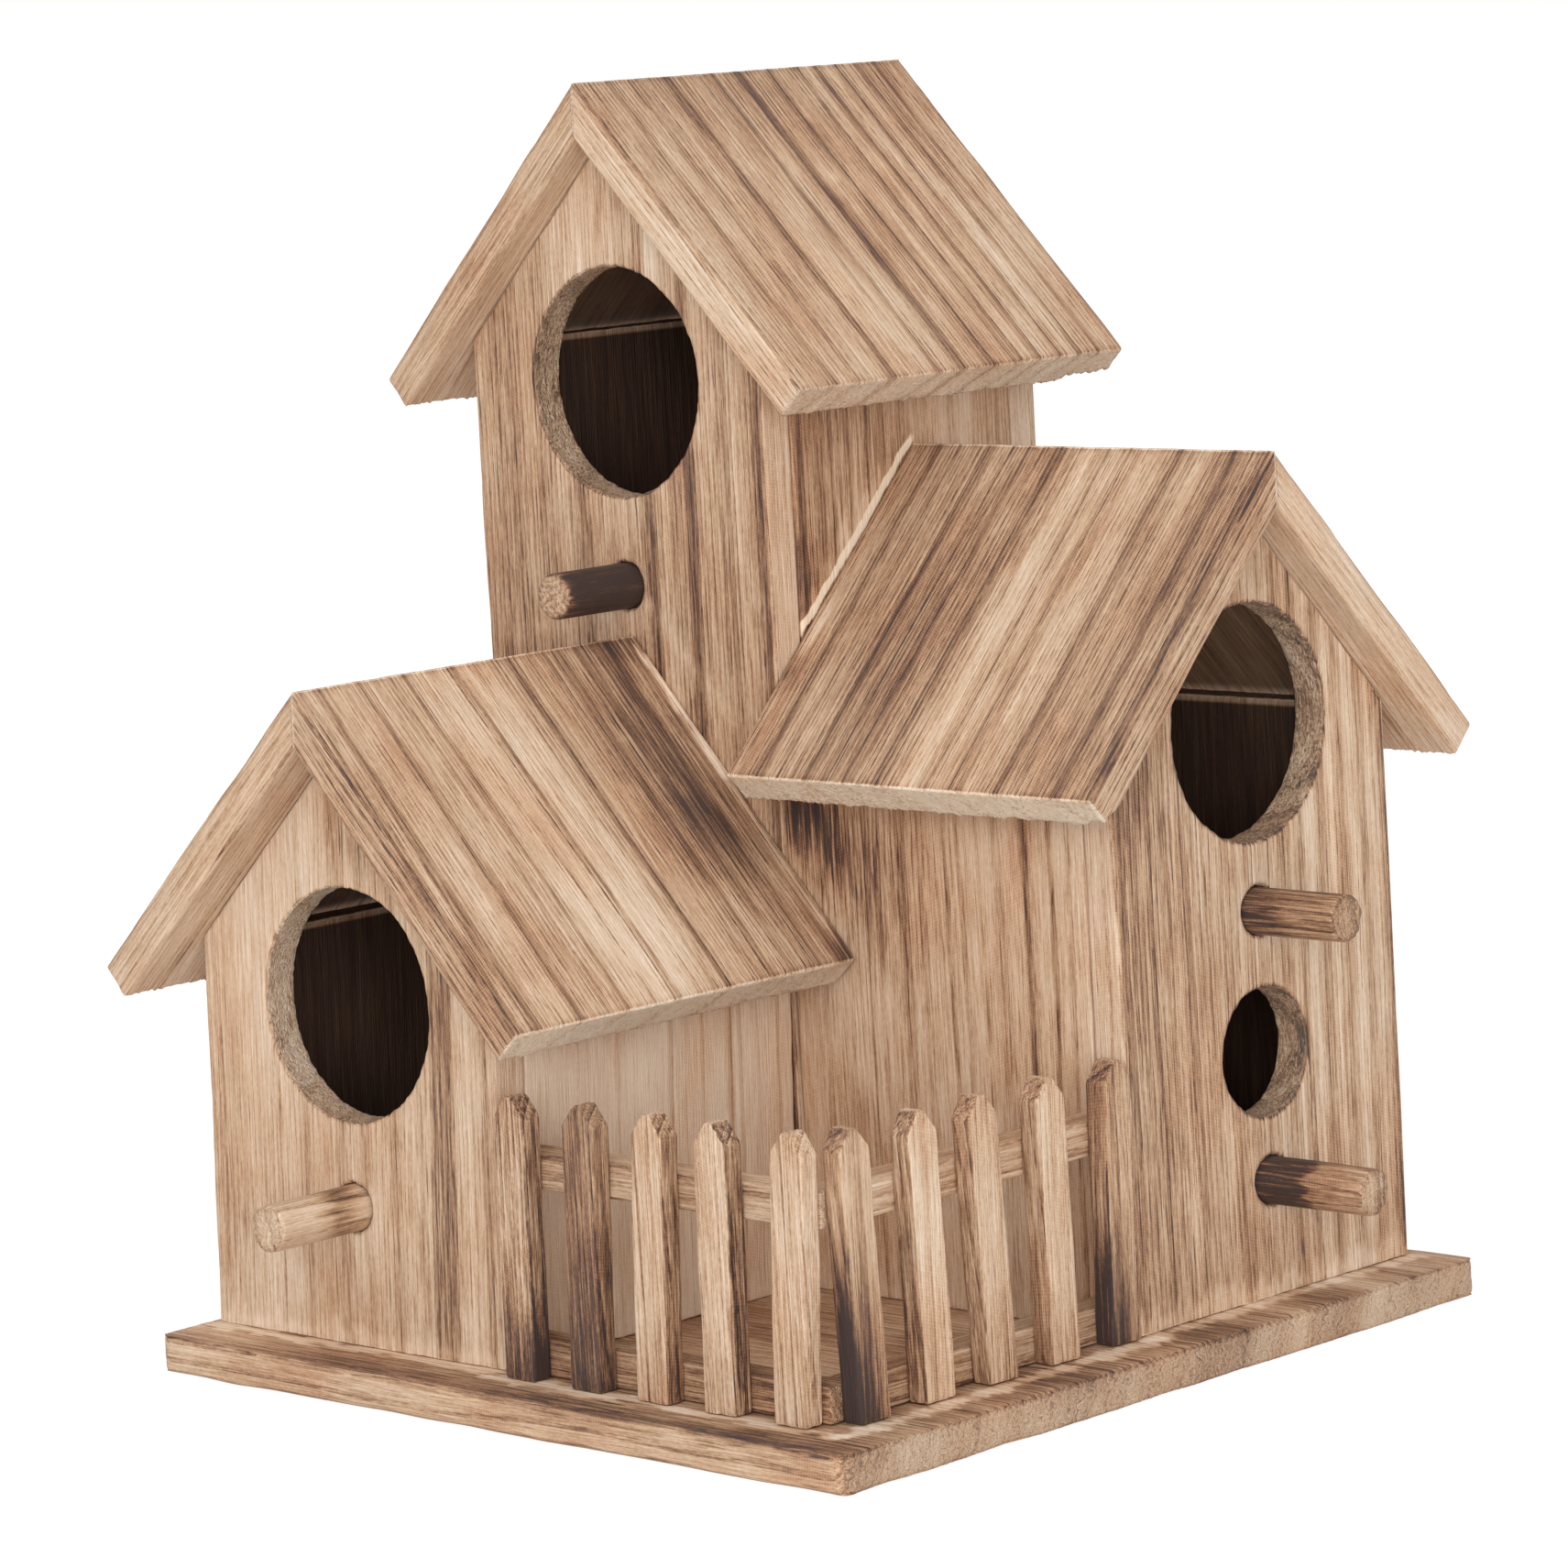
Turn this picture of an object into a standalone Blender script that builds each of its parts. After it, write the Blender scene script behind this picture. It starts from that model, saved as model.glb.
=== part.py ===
"""Nest box of three small wooden houses on one base board, with perches and a picket fence.

Metres, +Z up. The origin is the centre of the base board's underside. The short house and the
tower behind it face -Y, the middle house faces +X, and the fence closes the yard between them.
"""

import math
from dataclasses import dataclass

import bmesh
import bpy
from mathutils import Vector

# Stock and joints
BOARD_THICKNESS = 0.0078
BASE_THICKNESS = 0.0076
GLUE_GAP = 0.0003
BOARD_EDGE_ROUND = 0.0006
BASE_EDGE_ROUND = 0.0013

# Openings and perches, the same drill sizes in every house
ENTRANCE_RADIUS = 0.0235
SMALL_ENTRANCE_RADIUS = 0.0130
PERCH_RADIUS = 0.0047
PERCH_END_ROUND = 0.0005

# Roofs
ROOF_PITCH = math.radians(45.6)
ROOF_SLOPE_LENGTH = 0.0850

# Short house, front left
SHORT_LEFT_INSET = 0.0027
SHORT_FRONT_INSET = 0.0145
SHORT_WIDTH = 0.0833
SHORT_DEPTH = 0.0836
SHORT_LEAN = math.radians(2.0)
SHORT_PERCH_HEIGHT = 0.0280
SHORT_PERCH_TO_ENTRANCE = 0.0406
SHORT_ENTRANCE_TO_RIDGE = 0.0635
SHORT_PERCH_LENGTH = 0.0230
SHORT_FRONT_OVERHANG = 0.0110

# Tower, behind the short house
TOWER_LEFT_INSET = 0.0059
TOWER_BACK_INSET = 0.0083
TOWER_WIDTH = 0.0823
TOWER_PERCH_ABOVE_SHORT_RIDGE = 0.0101
TOWER_PERCH_TO_ENTRANCE = 0.0416
TOWER_ENTRANCE_TO_RIDGE = 0.0609
TOWER_PERCH_LENGTH = 0.0208
TOWER_FRONT_OVERHANG = 0.0075
TOWER_BACK_OVERHANG = 0.0083
TOWER_ROOF_LEAN = math.radians(0.5)

# Middle house, right of the tower
MIDDLE_FRONT_INSET = 0.0137
MIDDLE_BACK_INSET = 0.0048
MIDDLE_WIDTH = 0.0848
MIDDLE_DEPTH = 0.0869
MIDDLE_LEAN = math.radians(-0.7)
MIDDLE_ROOF_LEAN = math.radians(0.25)
MIDDLE_RIDGE_SHIFT = 0.0019
MIDDLE_LOWER_PERCH_HEIGHT = 0.0234
MIDDLE_PERCH_TO_SMALL_ENTRANCE = 0.0258
MIDDLE_SMALL_ENTRANCE_TO_PERCH = 0.0282
MIDDLE_PERCH_TO_ENTRANCE = 0.0373
MIDDLE_ENTRANCE_TO_RIDGE = 0.0533
MIDDLE_LOWER_PERCH_LENGTH = 0.0258
MIDDLE_UPPER_PERCH_LENGTH = 0.0221
MIDDLE_FRONT_OVERHANG = 0.0084

# Fence round the yard
PICKETS_PER_ROW = 5
PICKET_WIDTH = 0.0081
PICKET_THICKNESS = 0.0046
PICKET_LENGTH = 0.0555
PICKET_POINT_HEIGHT = 0.0040
PICKET_TIP_WIDTH = 0.0014
FENCE_FRONT_INSET = 0.0103
FENCE_SIDE_INSET = 0.0123
RAIL_SIZE = 0.0070
UPPER_RAIL_BELOW_TIP = 0.0116
FRONT_ROW_FIRST_PICKET = 0.0084
FRONT_ROW_LAST_PICKET = 0.0108
SIDE_ROW_FIRST_PICKET = 0.0120
SIDE_ROW_LAST_PICKET = 0.0053
FRONT_ROW_LEANS_DEG = (1.0, 1.8, 2.4, 0.9, 2.6)
SIDE_ROW_LEANS_DEG = (-2.6, -1.9, -3.0, -1.5, 0.4)

# Facets of round pieces
ENTRANCE_FACETS = 64
PERCH_FACETS = 32

# Overall sizes that follow from the ones above. The middle house leans towards the end of the
# short house's roof, and stands back far enough to clear it where it passes the tower's side.
SHORT_RIDGE_HEIGHT = SHORT_PERCH_HEIGHT + SHORT_PERCH_TO_ENTRANCE + SHORT_ENTRANCE_TO_RIDGE
SHORT_RIDGE_X = SHORT_LEFT_INSET + SHORT_WIDTH / 2 + SHORT_RIDGE_HEIGHT * math.tan(SHORT_LEAN)
SHORT_ROOF_PAST_TOWER_HEIGHT = SHORT_RIDGE_HEIGHT - (
    (TOWER_LEFT_INSET + TOWER_WIDTH - SHORT_RIDGE_X) * math.tan(ROOF_PITCH + SHORT_LEAN))
MIDDLE_SETBACK = max(0.0, -math.tan(MIDDLE_LEAN)) * SHORT_ROOF_PAST_TOWER_HEIGHT
BASE_WIDTH = TOWER_LEFT_INSET + TOWER_WIDTH + MIDDLE_DEPTH + MIDDLE_FRONT_INSET
BASE_DEPTH = SHORT_FRONT_INSET + SHORT_DEPTH + MIDDLE_SETBACK + MIDDLE_WIDTH + MIDDLE_BACK_INSET
TOWER_DEPTH = BASE_DEPTH - SHORT_FRONT_INSET - SHORT_DEPTH - TOWER_BACK_INSET
BASE_LEFT = -BASE_WIDTH / 2
BASE_RIGHT = BASE_WIDTH / 2
BASE_FRONT = -BASE_DEPTH / 2
SHORT_RIGHT_WALL = BASE_LEFT + SHORT_LEFT_INSET + SHORT_WIDTH
TOWER_FRONT = BASE_FRONT + SHORT_FRONT_INSET + SHORT_DEPTH
MIDDLE_LEFT_WALL = TOWER_FRONT + MIDDLE_SETBACK

# Principled colours (linear) and roughness of the torched wood
WALL_COLOR = (0.47, 0.29, 0.16)
ROOF_COLOR = (0.36, 0.20, 0.11)
BASE_COLOR = (0.38, 0.22, 0.12)
PERCH_COLOR = (0.28, 0.16, 0.10)
FENCE_COLOR = (0.33, 0.20, 0.11)
WOOD_ROUGHNESS = 0.75


@dataclass
class Entrance:
    """A round way in through the front panel, at a height above the base board."""
    height: float
    radius: float


@dataclass
class Perch:
    """A dowel glued through the front panel, with the length that stands out of it."""
    name: str
    height: float
    length: float


@dataclass
class House:
    """One house in its own frame: front face at y = 0, middle of its foot at x = 0."""
    name: str
    width: float
    depth: float
    ridge_height: float
    front_overhang: float
    back_overhang: float
    entrances: list
    perches: list
    lean: float = 0.0
    roof_lean: float = 0.0
    ridge_shift: float = 0.0
    has_back: bool = False

    def leaned(self, x, z):
        """A point of the leaning body, from its place before the lean."""
        return Vector((x + z * math.tan(self.lean), z))

    def ridge(self):
        """The sharp outer ridge of the roof."""
        return self.leaned(self.ridge_shift, self.ridge_height)

    def underside(self, side):
        """A point and the downhill direction of the roof's underside, one glue gap below it."""
        pitch = ROOF_PITCH + side * self.roof_lean
        below = BOARD_THICKNESS + GLUE_GAP
        point = self.ridge() - below * Vector((side * math.sin(pitch), math.cos(pitch)))
        return point, Vector((side * math.cos(pitch), -math.sin(pitch)))

    def eave_corner(self, side):
        """Where the outer face of a side wall meets the roof's underside."""
        foot = self.leaned(side * self.width / 2, 0.0)
        upright = Vector((math.tan(self.lean), 1.0))
        return crossing(foot, upright, *self.underside(side))


def crossing(point_a, direction_a, point_b, direction_b):
    """The point where two lines in a plane cross."""
    offset = point_b - point_a
    turn = direction_a.x * direction_b.y - direction_a.y * direction_b.x
    along = (offset.x * direction_b.y - offset.y * direction_b.x) / turn
    return point_a + along * direction_a


def clear_scene():
    for item in list(bpy.data.objects):
        bpy.data.objects.remove(item, do_unlink=True)


def new_collection(name):
    collection = bpy.data.collections.new(name)
    bpy.context.scene.collection.children.link(collection)
    return collection


def wood_material(name, color):
    material = bpy.data.materials.new(name)
    material.use_nodes = True
    shader = material.node_tree.nodes["Principled BSDF"]
    shader.inputs["Base Color"].default_value = (*color, 1.0)
    shader.inputs["Roughness"].default_value = WOOD_ROUGHNESS
    shader.inputs["Metallic"].default_value = 0.0
    material.diffuse_color = (*color, 1.0)
    return material


def new_empty(name, collection, location, turn=0.0):
    empty = bpy.data.objects.new(name, None)
    empty.empty_display_size = 0.02
    empty.location = location
    empty.rotation_euler = (0.0, 0.0, turn)
    collection.objects.link(empty)
    return empty


def add_piece(name, mesh, collection, parent, location, rotation, color):
    piece = bpy.data.objects.new(name, mesh)
    piece.parent = parent
    piece.location = location
    piece.rotation_euler = rotation
    mesh.materials.append(wood_material(name, color))
    collection.objects.link(piece)
    return piece


def round_edges(piece, width):
    bevel = piece.modifiers.new("rounded_edges", "BEVEL")
    bevel.width = width
    bevel.segments = 2
    bevel.limit_method = "ANGLE"
    bevel.angle_limit = math.radians(30)


def outline_mesh(name, outline, thickness):
    """A flat outline of points, made solid to a thickness, centred on its own plane."""
    curve = bpy.data.curves.new(name, "CURVE")
    curve.dimensions = "2D"
    curve.fill_mode = "BOTH"
    curve.extrude = thickness / 2
    spline = curve.splines.new("POLY")
    spline.points.add(len(outline) - 1)
    for spline_point, corner in zip(spline.points, outline):
        spline_point.co = (corner[0], corner[1], 0.0, 1.0)
    spline.use_cyclic_u = True
    holder = bpy.data.objects.new(name, curve)
    bpy.context.scene.collection.objects.link(holder)
    depsgraph = bpy.context.evaluated_depsgraph_get()
    mesh = bpy.data.meshes.new_from_object(holder.evaluated_get(depsgraph))
    bpy.data.objects.remove(holder, do_unlink=True)
    bpy.data.curves.remove(curve)
    mesh.name = name
    solid = bmesh.new()
    solid.from_mesh(mesh)
    bmesh.ops.remove_doubles(solid, verts=solid.verts, dist=0.00001)
    bmesh.ops.dissolve_limit(solid, angle_limit=0.001, verts=solid.verts, edges=solid.edges)
    bmesh.ops.recalc_face_normals(solid, faces=solid.faces)
    solid.to_mesh(mesh)
    solid.free()
    return mesh


def box_mesh(name, size):
    mesh = bpy.data.meshes.new(name)
    solid = bmesh.new()
    bmesh.ops.create_cube(solid, size=1.0)
    bmesh.ops.scale(solid, vec=size, verts=solid.verts)
    solid.to_mesh(mesh)
    solid.free()
    return mesh


def rod_mesh(name, radius, length, facets):
    """A round rod along Z, centred on its own middle."""
    mesh = bpy.data.meshes.new(name)
    solid = bmesh.new()
    bmesh.ops.create_cone(solid, cap_ends=True, segments=facets,
                          radius1=radius, radius2=radius, depth=length)
    solid.to_mesh(mesh)
    solid.free()
    mesh.shade_smooth()
    mesh.set_sharp_from_angle(angle=math.radians(40))
    return mesh


# An outline is drawn in X and Z, so its own plane is stood up facing -Y
STOOD_UP = (math.pi / 2, 0.0, 0.0)


def add_board(name, outline, y_start, y_end, collection, parent, color):
    """A board of constant section: an outline in X and Z that runs from y_start to y_end."""
    mesh = outline_mesh(name, outline, y_end - y_start)
    middle = (y_start + y_end) / 2
    piece = add_piece(name, mesh, collection, parent, (0.0, middle, 0.0), STOOD_UP, color)
    round_edges(piece, BOARD_EDGE_ROUND)
    return piece


def drill(panel, x, z, radius, facets, y_middle, cutters):
    """Cut a round hole straight through an upright panel."""
    name = f"{panel.name}_drill_{round(z * 1000)}"
    mesh = rod_mesh(name, radius, 3 * BOARD_THICKNESS, facets)
    cutter = bpy.data.objects.new(name, mesh)
    cutter.parent = panel.parent
    cutter.location = (x, y_middle, z)
    cutter.rotation_euler = STOOD_UP
    cutter.hide_render = True
    cutter.display_type = "WIRE"
    cutters.objects.link(cutter)
    cut = panel.modifiers.new(name, "BOOLEAN")
    cut.operation = "DIFFERENCE"
    cut.solver = "EXACT"
    cut.object = cutter


def gable_outline(house):
    """The five-sided outline of a front or back panel."""
    left_foot = house.leaned(-house.width / 2, GLUE_GAP)
    right_foot = house.leaned(house.width / 2, GLUE_GAP)
    apex = crossing(*house.underside(-1), *house.underside(1))
    return [left_foot, right_foot, house.eave_corner(1), apex, house.eave_corner(-1)]


def wall_outline(house, side):
    """A side wall's section: it leans with the house, and its top is cut square."""
    outer = side * house.width / 2
    inner = side * (house.width / 2 - BOARD_THICKNESS)
    top = house.eave_corner(side).y
    return [house.leaned(outer, GLUE_GAP), house.leaned(inner, GLUE_GAP),
            house.leaned(inner, top), house.leaned(outer, top)]


def roof_outline(side):
    """A roof board's section from the ridge down, mitred where the two boards meet."""
    half_joint = GLUE_GAP / 2
    rise, run = math.sin(ROOF_PITCH), math.cos(ROOF_PITCH)
    joint_drop = half_joint * rise / run
    eave = Vector((ROOF_SLOPE_LENGTH * run, -ROOF_SLOPE_LENGTH * rise))
    under_eave = eave - BOARD_THICKNESS * Vector((rise, run))
    under_ridge = -BOARD_THICKNESS / run - joint_drop
    right = [Vector((half_joint, -joint_drop)), eave, under_eave, Vector((half_joint, under_ridge))]
    return [Vector((side * corner.x, corner.y)) for corner in right]


def build_walls(house, parts, cutters, parent):
    panel = gable_outline(house)
    front = add_board(f"{house.name}_front", panel, 0.0, BOARD_THICKNESS, parts, parent, WALL_COLOR)
    middle = BOARD_THICKNESS / 2
    for entrance in house.entrances:
        x = house.leaned(0.0, entrance.height).x
        drill(front, x, entrance.height, entrance.radius, ENTRANCE_FACETS, middle, cutters)
    for perch in house.perches:
        x = house.leaned(0.0, perch.height).x
        drill(front, x, perch.height, PERCH_RADIUS + GLUE_GAP, PERCH_FACETS, middle, cutters)
    walls_end = house.depth - GLUE_GAP
    if house.has_back:
        panel_start = house.depth - BOARD_THICKNESS
        add_board(f"{house.name}_back", panel, panel_start, house.depth, parts, parent, WALL_COLOR)
        walls_end = panel_start - GLUE_GAP
    for side, side_name in ((-1, "left"), (1, "right")):
        add_board(f"{house.name}_{side_name}_wall", wall_outline(house, side),
                  BOARD_THICKNESS + GLUE_GAP, walls_end, parts, parent, WALL_COLOR)


def build_roof(house, parts, parent):
    start = -house.front_overhang
    end = house.depth + house.back_overhang
    ridge = house.ridge()
    for side, side_name in ((-1, "left"), (1, "right")):
        board = add_board(f"{house.name}_{side_name}_roof", roof_outline(side), start, end,
                          parts, parent, ROOF_COLOR)
        board.location = (ridge.x, (start + end) / 2, ridge.y)
        board.rotation_euler = (math.pi / 2, house.roof_lean, 0.0)


def build_perches(house, parts, parent):
    for perch in house.perches:
        whole_length = perch.length + BOARD_THICKNESS
        name = f"{house.name}_{perch.name}"
        mesh = rod_mesh(name, PERCH_RADIUS, whole_length, PERCH_FACETS)
        x = house.leaned(0.0, perch.height).x
        middle = BOARD_THICKNESS - whole_length / 2
        piece = add_piece(name, mesh, parts, parent, (x, middle, perch.height), STOOD_UP, PERCH_COLOR)
        round_edges(piece, PERCH_END_ROUND)


def build_house(house, location, turn, parts, cutters):
    parent = new_empty(f"{house.name}_place", parts, location, turn)
    build_walls(house, parts, cutters, parent)
    build_roof(house, parts, parent)
    build_perches(house, parts, parent)


def short_house():
    entrance_height = SHORT_PERCH_HEIGHT + SHORT_PERCH_TO_ENTRANCE
    return House(
        name="short_house", width=SHORT_WIDTH, depth=SHORT_DEPTH,
        ridge_height=SHORT_RIDGE_HEIGHT,
        front_overhang=SHORT_FRONT_OVERHANG, back_overhang=-GLUE_GAP,
        entrances=[Entrance(entrance_height, ENTRANCE_RADIUS)],
        perches=[Perch("perch", SHORT_PERCH_HEIGHT, SHORT_PERCH_LENGTH)],
        lean=SHORT_LEAN, roof_lean=SHORT_LEAN)


def tower():
    perch_height = SHORT_RIDGE_HEIGHT + TOWER_PERCH_ABOVE_SHORT_RIDGE
    entrance_height = perch_height + TOWER_PERCH_TO_ENTRANCE
    return House(
        name="tower", width=TOWER_WIDTH, depth=TOWER_DEPTH,
        ridge_height=entrance_height + TOWER_ENTRANCE_TO_RIDGE,
        front_overhang=TOWER_FRONT_OVERHANG, back_overhang=TOWER_BACK_OVERHANG,
        entrances=[Entrance(entrance_height, ENTRANCE_RADIUS)],
        perches=[Perch("perch", perch_height, TOWER_PERCH_LENGTH)],
        roof_lean=TOWER_ROOF_LEAN, has_back=True)


def middle_house():
    small_entrance_height = MIDDLE_LOWER_PERCH_HEIGHT + MIDDLE_PERCH_TO_SMALL_ENTRANCE
    upper_perch_height = small_entrance_height + MIDDLE_SMALL_ENTRANCE_TO_PERCH
    entrance_height = upper_perch_height + MIDDLE_PERCH_TO_ENTRANCE
    return House(
        name="middle_house", width=MIDDLE_WIDTH, depth=MIDDLE_DEPTH,
        ridge_height=entrance_height + MIDDLE_ENTRANCE_TO_RIDGE,
        front_overhang=MIDDLE_FRONT_OVERHANG, back_overhang=-GLUE_GAP,
        entrances=[Entrance(small_entrance_height, SMALL_ENTRANCE_RADIUS),
                   Entrance(entrance_height, ENTRANCE_RADIUS)],
        perches=[Perch("lower_perch", MIDDLE_LOWER_PERCH_HEIGHT, MIDDLE_LOWER_PERCH_LENGTH),
                 Perch("upper_perch", upper_perch_height, MIDDLE_UPPER_PERCH_LENGTH)],
        lean=MIDDLE_LEAN, roof_lean=MIDDLE_ROOF_LEAN, ridge_shift=MIDDLE_RIDGE_SHIFT)


def build_houses(parts, cutters):
    short_place = (BASE_LEFT + SHORT_LEFT_INSET + SHORT_WIDTH / 2,
                   BASE_FRONT + SHORT_FRONT_INSET, BASE_THICKNESS)
    build_house(short_house(), short_place, 0.0, parts, cutters)
    tower_place = (BASE_LEFT + TOWER_LEFT_INSET + TOWER_WIDTH / 2, TOWER_FRONT, BASE_THICKNESS)
    build_house(tower(), tower_place, 0.0, parts, cutters)
    middle_place = (BASE_RIGHT - MIDDLE_FRONT_INSET, MIDDLE_LEFT_WALL + MIDDLE_WIDTH / 2,
                    BASE_THICKNESS)
    build_house(middle_house(), middle_place, math.pi / 2, parts, cutters)


def build_base(parts):
    mesh = box_mesh("base_board", (BASE_WIDTH, BASE_DEPTH, BASE_THICKNESS))
    location = (0.0, 0.0, BASE_THICKNESS / 2)
    board = add_piece("base_board", mesh, parts, None, location, (0.0, 0.0, 0.0), BASE_COLOR)
    round_edges(board, BASE_EDGE_ROUND)


def picket_outline(x, lean):
    """A pointed picket whose foot is cut level, with its middle at x."""
    shoulder = PICKET_LENGTH - PICKET_POINT_HEIGHT
    half, half_tip = PICKET_WIDTH / 2, PICKET_TIP_WIDTH / 2
    corners = [(-half, GLUE_GAP), (half, GLUE_GAP), (half, shoulder), (half_tip, PICKET_LENGTH),
               (-half_tip, PICKET_LENGTH), (-half, shoulder)]
    return [Vector((x + across + z * math.tan(lean), z)) for across, z in corners]


def rail_outline(start, end, bottom):
    return [Vector((start, bottom)), Vector((end, bottom)),
            Vector((end, bottom + RAIL_SIZE)), Vector((start, bottom + RAIL_SIZE))]


def build_fence_row(name, parent, first, last, leans_deg, rail_ends, parts):
    """Pickets at even steps in front of two rails.

    rail_ends gives the start and end of a rail whose top is at a given height.
    """
    step = (last - first) / (PICKETS_PER_ROW - 1)
    for index in range(PICKETS_PER_ROW):
        lean = math.radians(leans_deg[index % len(leans_deg)])
        add_board(f"{name}_picket_{index + 1}", picket_outline(first + index * step, lean),
                  0.0, PICKET_THICKNESS, parts, parent, FENCE_COLOR)
    rail_front = PICKET_THICKNESS + GLUE_GAP
    upper_bottom = PICKET_LENGTH - UPPER_RAIL_BELOW_TIP - RAIL_SIZE
    for rail_name, bottom in (("lower", GLUE_GAP), ("upper", upper_bottom)):
        start, end = rail_ends(bottom + RAIL_SIZE)
        add_board(f"{name}_{rail_name}_rail", rail_outline(start, end, bottom),
                  rail_front, rail_front + RAIL_SIZE, parts, parent, FENCE_COLOR)


def build_fence(parts):
    front_face = BASE_FRONT + FENCE_FRONT_INSET
    side_face = BASE_RIGHT - FENCE_SIDE_INSET
    corner = side_face - PICKET_THICKNESS - GLUE_GAP - SHORT_RIGHT_WALL
    front_row = new_empty("front_row_place", parts, (SHORT_RIGHT_WALL, front_face, BASE_THICKNESS))
    build_fence_row("fence_front", front_row, FRONT_ROW_FIRST_PICKET,
                    side_face - SHORT_RIGHT_WALL - FRONT_ROW_LAST_PICKET, FRONT_ROW_LEANS_DEG,
                    lambda top: (GLUE_GAP + top * math.tan(SHORT_LEAN), corner), parts)

    side_row = new_empty("side_row_place", parts, (side_face, front_face, BASE_THICKNESS), math.pi / 2)
    behind_front_rails = PICKET_THICKNESS + RAIL_SIZE + 2 * GLUE_GAP
    middle_wall = MIDDLE_LEFT_WALL - front_face
    build_fence_row("fence_side", side_row, SIDE_ROW_FIRST_PICKET,
                    middle_wall - SIDE_ROW_LAST_PICKET, SIDE_ROW_LEANS_DEG,
                    lambda top: (behind_front_rails,
                                 middle_wall - GLUE_GAP + top * math.tan(MIDDLE_LEAN)), parts)


def main():
    clear_scene()
    parts = new_collection("nest_box")
    cutters = new_collection("nest_box_cutters")
    build_base(parts)
    build_houses(parts, cutters)
    build_fence(parts)


main()
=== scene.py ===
"""Looks of the nest box: torched wooden boards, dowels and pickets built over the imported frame.

Every board is a closed lattice of its own whose grain stands in relief, with worn arrises and
ragged sawn ends. Lengths inside the board code are millimetres; the frame and Blender use metres.
"""

import math
from dataclasses import dataclass, field

import bpy
import numpy as np
from bpy.props import FloatProperty, FloatVectorProperty, PointerProperty
from mathutils import Matrix, Vector


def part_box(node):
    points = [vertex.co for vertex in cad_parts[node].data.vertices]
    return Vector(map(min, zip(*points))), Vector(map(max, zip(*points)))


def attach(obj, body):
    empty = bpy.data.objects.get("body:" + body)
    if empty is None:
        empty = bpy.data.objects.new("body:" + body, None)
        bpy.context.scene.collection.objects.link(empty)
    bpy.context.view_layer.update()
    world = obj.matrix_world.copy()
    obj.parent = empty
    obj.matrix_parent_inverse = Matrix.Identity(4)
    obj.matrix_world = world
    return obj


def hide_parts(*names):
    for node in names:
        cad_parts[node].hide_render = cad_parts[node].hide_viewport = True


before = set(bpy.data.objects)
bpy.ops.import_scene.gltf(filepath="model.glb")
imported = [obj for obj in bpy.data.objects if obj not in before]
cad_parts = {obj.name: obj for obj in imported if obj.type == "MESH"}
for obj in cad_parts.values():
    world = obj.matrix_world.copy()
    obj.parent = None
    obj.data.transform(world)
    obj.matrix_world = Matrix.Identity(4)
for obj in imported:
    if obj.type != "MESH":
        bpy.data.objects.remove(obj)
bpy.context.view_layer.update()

bl_info = {
    "name": "Nest Box Looks",
    "version": (1, 0, 0),
    "blender": (4, 5, 0),
    "location": "3D View > Sidebar > Nest Box",
    "description": "Dresses the nest box frame in torched wood and sets up its studio",
    "category": "Object",
}

MM = 0.001
# Distances from an arris, in mm, at which a board's lattice has a line
ARRIS_LINES = (0.0, 0.2, 0.5, 0.9, 1.5)
# Usual distances between lattice lines: across a face, along it and through the thickness
FACE_PITCH = 0.6
LENGTH_PITCH = 2.6
LAYER_PITCH = 1.3
# Columns may stand closest near a side or the flank of a hole, and elsewhere keep a share of the pitch
NARROWEST_COLUMN = 0.05
NARROWEST_SHARE = 0.35
NEAR_SIDE = 1.6
NEAR_FLANK = 1.0
FEWEST_HOLE_COLUMNS = 8
# How far a streak fades on its two sides, as shares of its width: it darkens slowly and ends sharply
STREAK_FADE = (0.72, 0.34)


# Noise

def lattice_value(x, y, z, seed):
    """A fixed value from 0 to 1 for each cell corner."""
    key = (x * 73856093 ^ y * 19349663 ^ z * 83492791) + seed * 374761393
    key &= 0x7FFFFFFF
    key = ((key ^ (key >> 13)) * 1274126177) & 0x7FFFFFFF
    key ^= key >> 16
    return (key & 0xFFFF) / 65535.0


def noise(x, y, z, seed):
    """Smooth noise from -1 to 1 at arrays of points, the same on every run."""
    x, y, z = np.broadcast_arrays(x, y, z)
    cells = [np.floor(value).astype(np.int64) for value in (x, y, z)]
    parts = [value - cell for value, cell in zip((x, y, z), cells)]
    eased = [part * part * (3.0 - 2.0 * part) for part in parts]
    total = np.zeros(x.shape)
    for corner in range(8):
        steps = (corner & 1, (corner >> 1) & 1, (corner >> 2) & 1)
        weight = np.ones(x.shape)
        for step, share in zip(steps, eased):
            weight = weight * (share if step else 1.0 - share)
        total += weight * lattice_value(*(cell + step for cell, step in zip(cells, steps)), seed)
    return 2.0 * total - 1.0


def smooth_step(value, low, high):
    """0 at low and 1 at high, with an eased way between them."""
    share = np.clip((value - low) / (high - low), 0.0, 1.0)
    return share * share * (3.0 - 2.0 * share)


# What a board looks like and where it lies

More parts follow.
